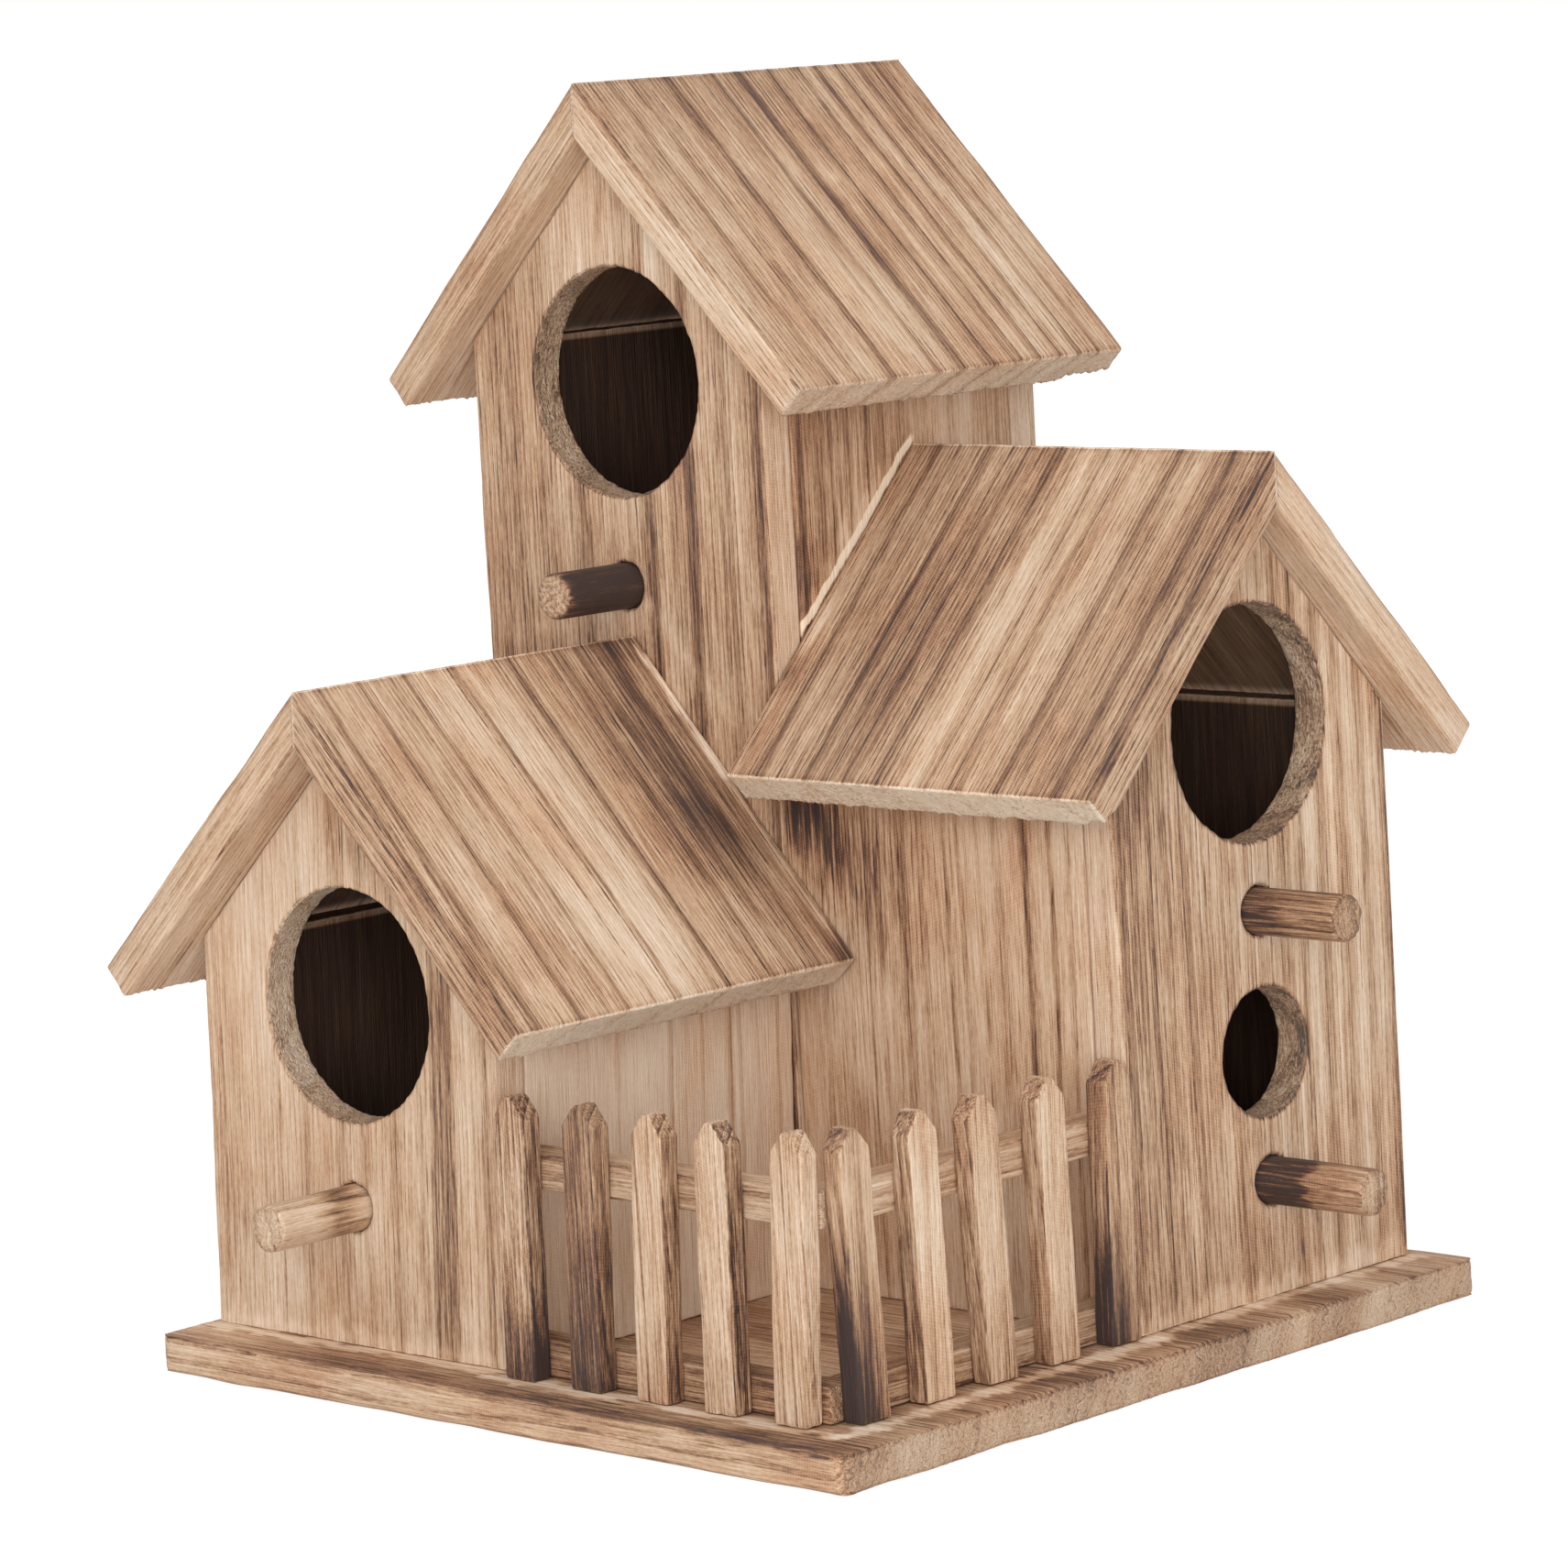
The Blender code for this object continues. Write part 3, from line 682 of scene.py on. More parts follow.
def rubbed_tone(graph, tone, board, rub):
    """The tone with one rubbed line drawn over it, thinner and thicker along its way."""
    from_across, from_along, to_across, to_along, half, change = rub
    way = Vector((to_across - from_across, 0.0, to_along - from_along))
    reach = way.length
    way.normalize()
    place = graph.vector("SUBTRACT", board, (from_across, 0.0, from_along))
    along = graph.dot(place, way)
    away = graph.dot(place, Vector((way.z, 0.0, -way.x)))
    wobble = graph.spread(graph.noise(board, (0.25, 0.25, 0.16), 3.0), 0.3, 0.7, -0.5, 0.5)
    away = graph.math("ABSOLUTE", graph.total(away, graph.product(wobble, half)))
    over = graph.product(graph.spread(away, 0.55 * half, half, 1.0, 0.0), graph.spread(along, -1.0, 1.0))
    over = graph.product(over, graph.spread(along, reach - 1.0, reach + 1.0, 1.0, 0.0))
    return graph.product(over, change, tone)


# A ramp holds a limited number of stops, so long lists are laid over two or more ramps
RAMP_STOPS_MOST = 30
# How far past a board's sides its streaks are drawn, in mm, since its grain wanders and leans
STREAK_MARGIN = 12.0
BUMP_STRENGTH = 0.55
BUMP_DISTANCE = 0.35 * MM


def wood_material(name, finish, across, along, inward, origin, sides, groups):
    """Torched wood laid out in one board's own millimetres, between its two sides."""
    material = bpy.data.materials.new(name)
    material.use_nodes = True
    graph = Graph(material.node_tree)
    shader = material.node_tree.nodes["Principled BSDF"]
    turn, shift, side = board_frame(across, along, inward, origin)
    board = graph.node("ShaderNodeMapping", {
        "Vector": graph.node("ShaderNodeTexCoord").outputs["Object"], "Location": shift,
        "Rotation": turn.to_euler(), "Scale": (1.0 / MM,) * 3}).outputs[0]
    where = graph.node("ShaderNodeGroup", node_tree=groups["grain_place"])
    for label, value in {"Board": board, "Seed": [finish.seed * step for step in (37.0, 11.0, 53.0)],
                         "Slant": finish.slant * side, "Wander": finish.wander}.items():
        graph.put(where.inputs[label], value)
    low, high = sides[0] - STREAK_MARGIN, sides[1] + STREAK_MARGIN
    stops = streak_stops(finish, low, high)
    share = graph.spread(where.outputs["Across"], low, high)
    tone = graph.ramp(share, stops[:RAMP_STOPS_MOST])
    for first in range(RAMP_STOPS_MOST - 1, len(stops), RAMP_STOPS_MOST - 1):
        over = graph.math("GREATER_THAN", share, stops[first][0])
        tone = graph.mix(over, tone, graph.ramp(share, stops[first:first + RAMP_STOPS_MOST]))
    if finish.rub:
        tone = rubbed_tone(graph, tone, board, finish.rub)
    wood = graph.node("ShaderNodeGroup", node_tree=groups["torched_wood"])
    for label, value in {"Grain": where.outputs["Grain"], "Across": where.outputs["Across"], "Tone": tone,
                         "Ring Spacing": finish.ring_spacing, "Ring Strength": finish.ring_strength,
                         "Dash Strength": finish.dash_strength, "Contrast": finish.contrast,
                         "Warmth": finish.warmth, "Side Tone": finish.side_tone}.items():
        graph.put(wood.inputs[label], value)
    bump = graph.node("ShaderNodeBump", {"Height": wood.outputs["Height"], "Strength": BUMP_STRENGTH,
                                         "Distance": BUMP_DISTANCE})
    graph.put(shader.inputs["Base Color"], wood.outputs["Color"])
    graph.put(shader.inputs["Roughness"], wood.outputs["Roughness"])
    graph.put(shader.inputs["Normal"], bump.outputs[0])
    shader.inputs["Specular IOR Level"].default_value = 0.3
    return material


def shader_groups(colours):
    """The two shared node groups, made once."""
    if "grain_place" not in bpy.data.node_groups:
        grain_place_group()
        tones = {"bare": -BARE_DEPTH, "pale": 0.0, "light": 0.25, "tan": 0.45, "brown": 0.65, "dark": 0.84,
                 "char": 1.0}
        torched_wood_group([((tone + BARE_DEPTH) / (1.0 + BARE_DEPTH), tuple(getattr(colours, name)))
                            for name, tone in tones.items()])
    return bpy.data.node_groups


def add_piece(name, mesh, material, node):
    """Puts a finished piece in the scene in place of its frame node."""
    mesh.materials.clear()
    mesh.materials.append(material)
    piece = bpy.data.objects.new(name, mesh)
    bpy.context.scene.collection.objects.link(piece)
    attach(piece, "root")
    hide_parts(node)


def place_board(board, context):
    """Builds one board, gives it its wood and puts it in its place."""
    scene = context.scene
    mesh = build_board(board, scene.nest_box_finish, scene.nest_box_sizes)
    material = wood_material(f"wood_{board.name}", board.finish, board.across, board.along,
                             board.inward, board.origin, board.width, shader_groups(scene.nest_box_wood))
    add_piece(board.name, mesh, material, board.node)


# The houses

@dataclass
class House:
    """One house, in mm: its foot's front left corner, and its directions seen from its own front.

    ridge is how high the roof's top stands over the foot, and ridge_shift how far it is off the middle;
    holes are (height, radius), from the lowest up.
    """
    name: str
    corner: Vector
    right: Vector
    back: Vector
    width: float
    depth: float
    ridge: float
    overhang: float
    back_overhang: float
    holes: list
    lean: float = 0.0
    roof_lean: float = 0.0
    ridge_shift: float = 0.0
    closed_back: bool = False

    def up(self):
        return Vector((0.0, 0.0, 1.0)) + math.tan(self.lean) * self.right

    def ridge_place(self):
        """Where across the foot's line the ridge stands, carried over by the lean."""
        return self.width / 2 + self.ridge_shift + self.ridge * math.tan(self.lean)


def slope_line(house, side, sizes):
    """The roof's underside on one side: a point (across, height) and its fall per mm across."""
    pitch = sizes.roof_pitch + side * house.roof_lean
    below = (sizes.board_thickness + sizes.glue_gap) / MM
    return (house.ridge_place() - side * below * math.sin(pitch), house.ridge - below * math.cos(pitch),
            math.tan(pitch))


def height_under_roof(house, sizes, across):
    """How far up the leaning body's grain the roof's underside is, at places across it."""
    lean = math.tan(house.lean)
    heights = []
    for side in (-1, 1):
        x, z, fall = slope_line(house, side, sizes)
        # The roof line z = z0 - fall * side * (x - x0) met by the leaning line x = across + z * lean
        heights.append((z - fall * side * (across - x)) / (1.0 + fall * side * lean))
    return np.minimum(heights[0], heights[1])


# Places tried across a panel to find its apex
APEX_PLACES = 8001


def apex_place(house, sizes):
    """Where across the panel its top is highest."""
    places = np.linspace(0.0, house.width, APEX_PLACES)
    return float(places[np.argmax(height_under_roof(house, sizes, places))])


# Walls stand in their glue, so their feet are close to the base and hardly worn
FOOT_GAP = 0.1
FOOT_ROUNDED = (1.0, 1.0, 0.25, 1.0)
# Two roof boards meet at the ridge in a mitre, and each starts this far down its slope
MITRE_SEAM = 0.04
ROOF_SLOPE = 85.0


def front_panel(house, sizes, finish, at_back=False):
    """The five-sided panel at a house's front, or the plain one at its back."""
    part = "back" if at_back else "front"
    origin = house.corner + (house.depth * house.back if at_back else Vector())
    holes = [] if at_back else [(house.width / 2, height, radius) for height, radius in house.holes]
    return Board(f"{house.name}_{part}_board", f"{house.name}_{part}", origin * MM, house.right,
                 house.up(), -house.back if at_back else house.back, (0.0, house.width),
                 square_cut(FOOT_GAP), lambda across, depth: height_under_roof(house, sizes, across),
                 sizes.board_thickness / MM, finish, holes=holes, creases=[apex_place(house, sizes)],
                 rounded=FOOT_ROUNDED, ragged=(0.15, 0.0))


def side_board(house, side, sizes, finish):
    """A wall between the panels: side is -1 for the left one and 1 for the right one."""
    gap = sizes.glue_gap / MM
    thickness = sizes.board_thickness / MM
    far = house.width if side > 0 else 0.0
    behind = house.depth - gap - (thickness if house.closed_back else 0.0)
    top = float(height_under_roof(house, sizes, np.array(far)))
    label = "right" if side > 0 else "left"
    return Board(f"{house.name}_{label}_side", f"{house.name}_{label}_wall",
                 (house.corner + far * house.right) * MM, house.back, house.up(),
                 -side * house.right, (thickness + gap, behind), square_cut(FOOT_GAP), square_cut(top),
                 thickness, finish, rounded=FOOT_ROUNDED, ragged=(0.15, 0.1))


def roof_board(house, side, sizes, finish):
    """A roof board from the ridge down to its eave, with the torn places of that eave."""
    pitch = sizes.roof_pitch + side * house.roof_lean
    mitre = math.tan(sizes.roof_pitch)
    up = Vector((0.0, 0.0, 1.0))
    ridge = (house.corner + house.ridge_place() * house.right + house.ridge * up
             - house.overhang * house.back)
    down = side * math.cos(pitch) * house.right - math.sin(pitch) * up
    inward = -side * math.sin(pitch) * house.right - math.cos(pitch) * up
    node = f"{house.name}_{'right' if side > 0 else 'left'}_roof"
    return Board(f"{node}_board", node, ridge * MM, house.back, down, inward,
                 (0.0, house.overhang + house.depth + house.back_overhang),
                 lambda across, depth: MITRE_SEAM + depth * mitre, square_cut(ROOF_SLOPE),
                 sizes.board_thickness / MM, finish, rounded=(1.0, 0.7, 0.0, 1.0), ragged=(0.0, 0.45),
                 chips=EAVE_CHIPS.get(node, ()))


def frame_corner(node, corner):
    """One corner of a frame node's box, in mm: each of x, y and z is 0 for low and 1 for high."""
    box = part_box(node)
    return Vector([box[pick][axis] / MM for axis, pick in enumerate(corner)])


# Where the left side of the middle house's front stands, in mm from the middle of the base
MIDDLE_SIDE = 4.79


def houses(sizes):
    """The three houses, with places taken from the frame's own nodes and sizes like its own."""
    right, back, left = Vector((1, 0, 0)), Vector((0, 1, 0)), Vector((-1, 0, 0))
    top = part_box("base_board")[1].z / MM
    short_foot = frame_corner("short_house_front", (0, 0, 0))
    tower_foot = frame_corner("tower_front", (0, 0, 0))
    tower_end = frame_corner("tower_back", (1, 1, 0))
    tower_side = frame_corner("tower_right_wall", (1, 0, 0))
    middle_face = frame_corner("middle_house_front", (1, 0, 0))
    large, small = sizes.entrance_radius / MM, sizes.small_entrance_radius / MM
    drilled = (sizes.perch_radius + sizes.glue_gap) / MM
    return {
        "short": House(
            "short_house", Vector((short_foot.x, short_foot.y, top)), right, back, width=83.3,
            depth=tower_foot.y - short_foot.y, ridge=132.1, overhang=11.0, back_overhang=-0.3,
            holes=[(28.0, drilled), (68.6, large)], lean=math.radians(2.0),
            roof_lean=math.radians(2.0)),
        "tower": House(
            "tower", Vector((tower_foot.x, tower_foot.y, top)), right, back,
            width=tower_end.x - tower_foot.x, depth=tower_end.y - tower_foot.y, ridge=244.7,
            overhang=7.5, back_overhang=8.3, holes=[(142.2, drilled), (183.8, large)],
            roof_lean=math.radians(0.5), closed_back=True),
        "middle": House(
            "middle_house", Vector((middle_face.x, MIDDLE_SIDE, top)), back, left, width=84.8,
            depth=middle_face.x - tower_side.x, ridge=168.0, overhang=8.4, back_overhang=-0.3,
            holes=[(23.4, drilled), (49.2, small), (77.4, drilled), (114.7, large)],
            lean=math.radians(-0.7), roof_lean=math.radians(0.25), ridge_shift=1.9)}


# Change of tone round a perch, where the wood stayed pale
HALO = -0.22


def roof_finish(tone, streaks, patches=(), bands=(), **changes):
    """Wood of a roof board, with strong rings down the slope and no pale edges."""
    usual = {"edge_tone": 0.0, "gloom": 0.50, "ring_strength": 0.36, "dash_strength": 0.10}
    return Finish(tone, streaks, patches, bands, **{**usual, **changes})


SHORT_FINISHES = {
    "front": Finish(
        0.24,
        [(4, 2, .32), (13, 2.5, .20), (21, 2, .32), (29, 1.6, .40), (34, 2, .27), (40, 3, .42),
         (47, 2.4, .40), (51, 1.5, .30), (55, 2.4, .44), (62.5, 1.4, .38), (66, 1.2, .68),
         (69.2, 4.5, .60), (75, 2.4, .20), (80, 1.8, .50)],
        [(14, 84, 24, 34, -.13), (30, 112, 12, 14, -.08), (46, 106, 10, 15, .16), (70, 25, 14, 40, .06),
         (40, 20, 34, 22, .05), (41.6, 26, 8, 7, HALO), (8, 30, 8, 40, .07)],
        [(0, 1.2, 83, 1.2, 2.2, -.15)],
        seed=3, slant=0.5, bore_tone=.22, ring_strength=.16, dash_strength=.26),
    # This wall is paled to bare wood, partly as painted fill light against the shade of the eave and the
    # fence
    "right": Finish(
        -0.24,
        [(24, .8, .12), (33, 1, .18), (38, .7, .14), (49, 1.1, .42), (53, .7, .2), (57.5, .8, .32),
         (64.8, 1.4, .56), (67.2, .9, .36), (72, .7, .2), (78, .9, .34)],
        [(45, 72, 40, 8, .07), (78, 20, 8, 30, .10)],
        [(8, 1.5, 83, 1.5, 3, -.1)],
        seed=5, warmth=.05, ring_strength=.13, dash_strength=.12, side_tone=.3),
    "left": Finish(
        0.36,
        [(15, 2, .55), (27, 3, .4), (38, 2, .6), (52, 2, .5), (63, 2, .58), (74, 3, .45)],
        [(20, 20, 20, 30, .1)],
        [(8, 1.5, 83, 1.5, 3, -.2)],
        seed=7),
    # Its eave end is painted much paler, partly as painted fill light on the down-facing end
    "right_roof": roof_finish(
        0.38,
        [(1.6, 2.6, .58), (6.6, 2.6, .62), (11.5, 2.4, .34), (15, 2, .30), (18.6, 1.3, .70),
         (22.5, 3, .40), (26.3, 1.8, .46), (30.4, 1.3, .70), (35, 5, .32), (39.8, 2, .26),
         (43.3, 1.3, .68), (46.6, 3, .24), (51, 2.6, .28), (54, 1.6, .46), (57.6, 1.9, .78), (63, 3, .40),
         (67, 2, .52), (71, 3, .66), (77, 4, .62), (84, 7, .66), (91, 2, .55)],
        [(83, 34, 8, 24, .22), (79, 48, 9, 11, .18), (76, 16, 13, 24, .10), (90, 2, 8, 4, .25),
         (74, 24, 1.6, 1.2, -.14), (79.5, 38, 1.4, 1.8, -.16), (13, 55, 2.5, 4, -.08),
         (45, 75, 14, 13, -.07), (3, 76, 6, 14, .05), (93, 83, 4, 6, .45), (14, 62, 3, 2, -.08),
         (73, 10, 5, 7, -.10), (80, 72, 12, 14, -.10), (40, 42, 12, 70, -.08)],
        [(93.6, 6, 93.6, 36, 1.8, -.45)],
        seed=11, slant=0.8, arris_tone=.30, side_tone=.46, end_tone=-.55, ring_spacing=1.2),
    "left_roof": roof_finish(
        0.40,
        [(4, 3, .6), (11, 2, .36), (17, 1.5, .7), (25, 3, .42), (33, 2, .68), (41, 4, .32), (50, 1.6, .7),
         (58, 3, .4), (66, 2.4, .66), (75, 3, .5), (84, 4, .66), (91, 2, .5)],
        [(80, 30, 12, 24, .2), (40, 60, 20, 20, -.08)],
        [(93.6, 6, 93.6, 70, 1.6, -.35)],
        seed=13, slant=-0.7, arris_tone=.22, side_tone=.33, ring_strength=.28),
}

TOWER_FINISHES = {
    "front": Finish(
        0.40,
        [(6, 2, .54), (10.4, 1.3, .54), (15, 2, .30), (19, 1.8, .42), (25, 3, .32), (31.4, 3.6, .64),
         (38, 2, .34), (43, 3, .28), (46.5, 1.4, .42), (50.6, 2.4, .74), (55, 2.4, .28), (58.6, 1.3, .44),
         (62.2, 2.4, .78), (67.5, 3, .32), (72.6, 1.4, .54), (76.5, 2.4, .30), (81.4, 1.8, .74)],
        [(3, 180, 5, 50, -.08), (31.5, 205, 5, 40, -.34), (41, 215, 30, 20, -.06),
         (50.6, 215, 3, 30, -.22), (62, 215, 3, 22, -.25), (41.2, 141, 7, 6, HALO * .6),
         (20, 120, 20, 22, .08), (41, 130, 80, 120, .035)],
        [(6, 131, 48, 138, 1.6, -.10), (48, 138, 82, 103, 1.4, -.12)],
        seed=17, bore_tone=.28, ring_strength=.20, dash_strength=.22),
    "back": Finish(
        0.36,
        [(8, 2, .5), (19, 3, .42), (27, 2, .6), (40, 3, .34), (52, 2, .62), (63, 3, .4), (74, 2, .58)],
        [(40, 60, 30, 40, .08)],
        [(0, 1.2, 82, 1.2, 2.4, -.2)],
        seed=19),
    "right": Finish(
        0.46,
        [(9.6, 1.6, .72), (15.5, 3, .64), (19, 1.4, .72), (24, 3, .62), (30, 1.6, .70), (35, 3, .58),
         (41, 1.8, .60), (46, 2, .38), (54, 6, .24), (62, 4, .22), (70.5, 1.2, .50)],
        [(5, 136, 6, 30, .20), (14, 140, 9, 10, .08), (26, 168, 8, 18, -.05), (60, 178, 24, 16, -.10)],
        [(13, 139.0, 35, 161.5, 2.4, -.18), (18, 146, 31, 159, 4.0, -.06)],
        seed=23, rub=(-1, 124.1, 43.4, 169.1, 1.0, -1.0), warmth=.12, ring_strength=.20, dash_strength=.13,
        band_jag=.9),
    "left": Finish(
        0.38,
        [(14, 2, .55), (24, 3, .42), (35, 2, .64), (47, 3, .38), (58, 2, .6), (68, 2, .5)],
        [(20, 60, 20, 50, .1)],
        [(8, 1.5, 76, 1.5, 3, -.2)],
        seed=29),
    "right_roof": roof_finish(
        0.42,
        [(3, 2, .42), (10, 1.2, .60), (13.6, 2, .34), (17, 1, .58), (21.5, 2, .36), (27.6, 2, .72),
         (33, 3, .38), (37.6, 1, .54), (40.6, 1.3, .72), (44.5, 3, .38), (48.5, 2.6, .78), (53, 2, .38),
         (57.8, 1.5, .74), (62, 2, .34), (66.3, 1, .64), (69.4, 1.8, .34), (72.4, 1.2, .72),
         (75.6, 1.6, .32), (78.6, 1.1, .68), (82, 1.8, .32), (85.2, 1.2, .70), (90.6, 1.2, .66),
         (94, 1.2, .38)],
        [(50, 4, 60, 13, .12), (34, 66, 10, 22, -.13), (41, 44, 5, 8, .05), (80, 50, 22, 44, -.07),
         (58, 13, 1.6, 1.4, -.22), (53, 31, 1.3, 1.8, -.24), (57, 35, 1.2, 1.6, -.22)],
        seed=31, slant=0.9, arris_tone=.24, side_tone=.26, end_tone=-.24, ring_spacing=1.15, wander=.5),
    "left_roof": roof_finish(
        0.42,
        [(5, 2, .6), (12, 2, .36), (20, 1.6, .7), (29, 3, .4), (37, 1.6, .68), (46, 3, .36), (55, 2, .72),
         (63, 3, .4), (71, 1.6, .68), (80, 3, .36), (89, 2, .66)],
        [(50, 8, 60, 14, .1), (60, 60, 20, 20, -.08)],
        seed=37, slant=-0.8, arris_tone=.2, side_tone=.40, ring_strength=.28, dash_strength=.08),
}

MIDDLE_FINISHES = {
    "front": Finish(
        0.40,
        [(2.5, 3, .60), (7, 2.6, .54), (11.4, 2, .66), (16, 2.6, .48), (22, 2, .58), (28, 2, .46),
         (34, 2, .54), (40, 2, .40), (46.5, 2, .40), (51.5, 1.8, .58), (54.4, 1.2, .28), (56.9, 1.5, .60),
         (60.2, 1.6, .24), (63.4, 1.5, .60), (66.8, 1.6, .22), (70, 1.4, .58), (73.2, 1.6, .20),
         (76.4, 1.3, .56), (79.6, 1.6, .24), (83.2, 1.6, .56)],
        [(8, 40, 14, 55, .02), (24, 50, 14, 40, -.05), (17, 62, 3, 9, -.10), (30, 30, 3, 10, -.12),
         (19, 24, 2.6, 8, -.12), (9, 88, 2.4, 12, -.10), (33, 100, 3, 8, -.08), (72, 118, 10, 24, -.06),
         (5, 112, 8, 16, .12), (42, 77, 8, 6, HALO), (42, 23, 8, 6, HALO), (60, 60, 20, 60, -.03),
         (72, 60, 13, 70, -.06), (60, 96, 9, 14, -.06), (42, 146, 20, 8, -.06)],
        [(0, 1.4, 85, 1.4, 2.6, -.20), (54, 150, 85, 119, 5, -.16)],
        seed=41, rim_tone=.12, bore_tone=.32, ring_spacing=1.6, ring_strength=.24, dash_strength=.24),
    "left": Finish(
        0.20,
        [(77.9, 1, .34), (64.9, 1, .38), (61.4, 1, .34), (55.4, 2.4, .42), (50.4, 1, .40),
         (43.9, 1.2, .44), (40.4, 1, .46), (35.4, 1, .36), (31, 3, .36), (23.3, 1.8, .68),
         (16.5, 1.2, .62), (12.1, 1.4, .44)],
        [(82, 99, 7, 9, .55), (74, 93, 10, 12, .36), (63, 84, 12, 18, .20), (60, 72, 14, 16, .05),
         (72, 34, 9, 16, .12), (76, 12, 8, 10, .06), (47, 75, 22, 22, .02), (40, 40, 24, 30, .04)],
        [(0, 1.5, 79, 1.5, 3, -.15)],
        seed=43, warmth=.06, ring_strength=.10, dash_strength=.30),
    "right": Finish(
        0.38,
        [(14, 2, .55), (24, 3, .42), (35, 2, .64), (47, 3, .38), (58, 2, .6), (70, 2, .5)],
        [(20, 60, 20, 50, .1)],
        [(0, 1.5, 79, 1.5, 3, -.2)],
        seed=47),
    # Its eave end is painted much paler, partly as painted fill light on the down-facing end
    "left_roof": roof_finish(
        0.46,
        [(1.8, 2, .64), (5, 2, .46), (9.2, 2.2, .76), (13, 2, .52), (17, 2, .38), (20.4, 1, .52),
         (24, 1.7, .72), (28, 2, .36), (32, 4, .33), (37.2, 1, .64), (40.3, 2.4, .31), (43.2, .9, .64),
         (47.6, 4.4, .28), (51.8, 1, .48), (55.2, 2.6, .68), (58.6, 1, .56), (62.6, 1.5, .76),
         (67, 4, .60), (73, 2, .78), (77, 2.6, .52), (81, 2, .58), (86.6, 2, .74), (91, 2, .46)],
        [(10, 45, 16, 60, .06), (68, 60, 9, 24, .12), (47, 72, 5, 18, -.08), (92.5, 50, 1.6, 12, -.25),
         (2, 45, 3, 50, .08), (93, 58, 3, 4, .3)],
        seed=53, slant=0.7, arris_tone=.26, side_tone=.45, end_tone=-.66, ring_spacing=1.15,
        dash_strength=.09, gloom=.38),
    "right_roof": roof_finish(
        0.42,
        [(6, 2, .6), (14, 2, .36), (22, 1.6, .7), (31, 3, .4), (39, 1.6, .68), (48, 3, .36), (57, 2, .72),
         (66, 3, .4), (75, 1.6, .68), (84, 3, .4)],
        [(60, 60, 20, 20, -.06)],
        seed=59, slant=-0.8, arris_tone=.2, side_tone=.22, ring_strength=.28, dash_strength=.08, gloom=.38),
}

BASE_FINISH = Finish(
    0.46,
    [(1, 2.4, .66), (4.2, 3, .63), (7.4, 1.6, .57), (10, 2.4, .56), (20, 3, .40), (30, 2, .5),
     (44, 4, .36), (55, 2, .46), (68, 6, .58), (80, 2, .55), (92, 3, .40), (105, 6, .62), (115, 10, .68),
     (133, 5, .24), (146, 4, .56), (157, 6, .26), (168, 3, .55), (180, 4, .34)],
    [(4, 120, 8, 20, .10), (7, 12, 7, 26, -.26), (3, 58, 4, 18, .12), (4, 166, 8, 12, .10),
     (68, 182, 12, 8, .22), (30, 183, 24, 5, .16), (110, 183, 18, 5, .12), (95, 186, 8, 2, -.08),
     (38, 84, 10, 10, .3), (68, 115, 14, 10, .14), (75, 140, 8, 8, .16), (50, 120, 26, 26, -.15),
     (30, 184, 12, 6, -.05), (140, 184, 12, 6, .12)],
    [(0, 96, 0, 176, 3.4, .16), (0, 20, 0, 60, 2.6, .08), (12.6, 3, 12.6, 86, 2.4, -.42),
     (10.5, 86, 10.5, 178, 2.2, -.42), (12, 178.8, 98, 178.8, 2.2, -.42),
     (99, 177.0, 184, 177.0, 2.2, -.36)],
    seed=61, slant=0.4, edge_tone=-.08, side_tone=.45, end_tone=.08, arris_tone=.12, ring_spacing=1.7,
    dash_strength=.2, band_jag=1.1)


# Torn places along the lower arris of an eave: (start, end, depth) in mm along the board
EAVE_CHIPS = {
    "tower_right_roof": [(83, 98, 1.3), (35, 37, 0.5)],
    "middle_house_left_roof": [(-2, 3, 1.2), (21, 23, 0.6), (60, 62, 0.4)],
    "short_house_right_roof": [(14, 15, 0.4), (66, 69, 0.5)],
}


def place_house(name, finishes, context):
    """Builds a house's panels, walls and roof boards and puts them in their places."""
    sizes = context.scene.nest_box_sizes
    house = houses(sizes)[name]
    place_board(front_panel(house, sizes, finishes["front"]), context)
    if house.closed_back:
        place_board(front_panel(house, sizes, finishes["back"], at_back=True), context)
    for side, label in ((-1, "left"), (1, "right")):
        place_board(side_board(house, side, sizes, finishes[label]), context)
        place_board(roof_board(house, side, sizes, finishes[f"{label}_roof"]), context)


# Perches

@dataclass
class Dowel:
    """A perch, whose burn is (share of the way out from the wall, change of tone) in order.

    tip is the change of tone on its sawn end, and end_slope how much that end is out of square.
    """
    node: str
    finish: Finish
    burn: list
    tip: float = 0.0
    end_slope: float = 0.0


DOWELS = [
    Dowel("short_house_perch",
          Finish(0.24, [(-2, 1.5, .42), (2, 1, .38)], seed=71, slant=0.2, dash_strength=.10),
          [(0.0, .1), (.25, .45), (.33, .45), (.42, .25), (.6, .04), (1.0, .0)], tip=.06),
    Dowel("tower_perch",
          Finish(0.98, [(2, 1.5, .9)], seed=73, slant=0.2, dash_strength=.10, contrast=.6),
          [(0.0, .1), (.85, .06), (.95, -.05), (1.0, -.25)], tip=-.54),
    Dowel("middle_house_lower_perch",
          Finish(0.50, [(1, 1.3, .74), (-1.6, .8, .36), (3, .8, .7)], seed=79, slant=0.2),
          [(0.0, .52), (.3, .54), (.42, .44), (.48, .06), (.8, -.02), (1.0, .0)], tip=-.08,
          end_slope=0.25),
    Dowel("middle_house_upper_perch",
          Finish(0.50, [(1, 1.2, .68), (-2, .8, .42), (3.4, .8, .66)], seed=83, slant=0.2),
          [(0.0, .36), (.3, .30), (.5, .12), (.75, .08), (1.0, .04)], tip=.02),
]

DOWEL_FACETS = 72
DOWEL_RINGS = 46
# The tip's rounded arris as (distance from the end, distance in from the side), in mm
DOWEL_ARRIS = ((0.5, 0.06), (0.25, 0.2), (0.08, 0.45), (0.0, 0.8))
DOWEL_SIDES = (-5.0, 5.0)


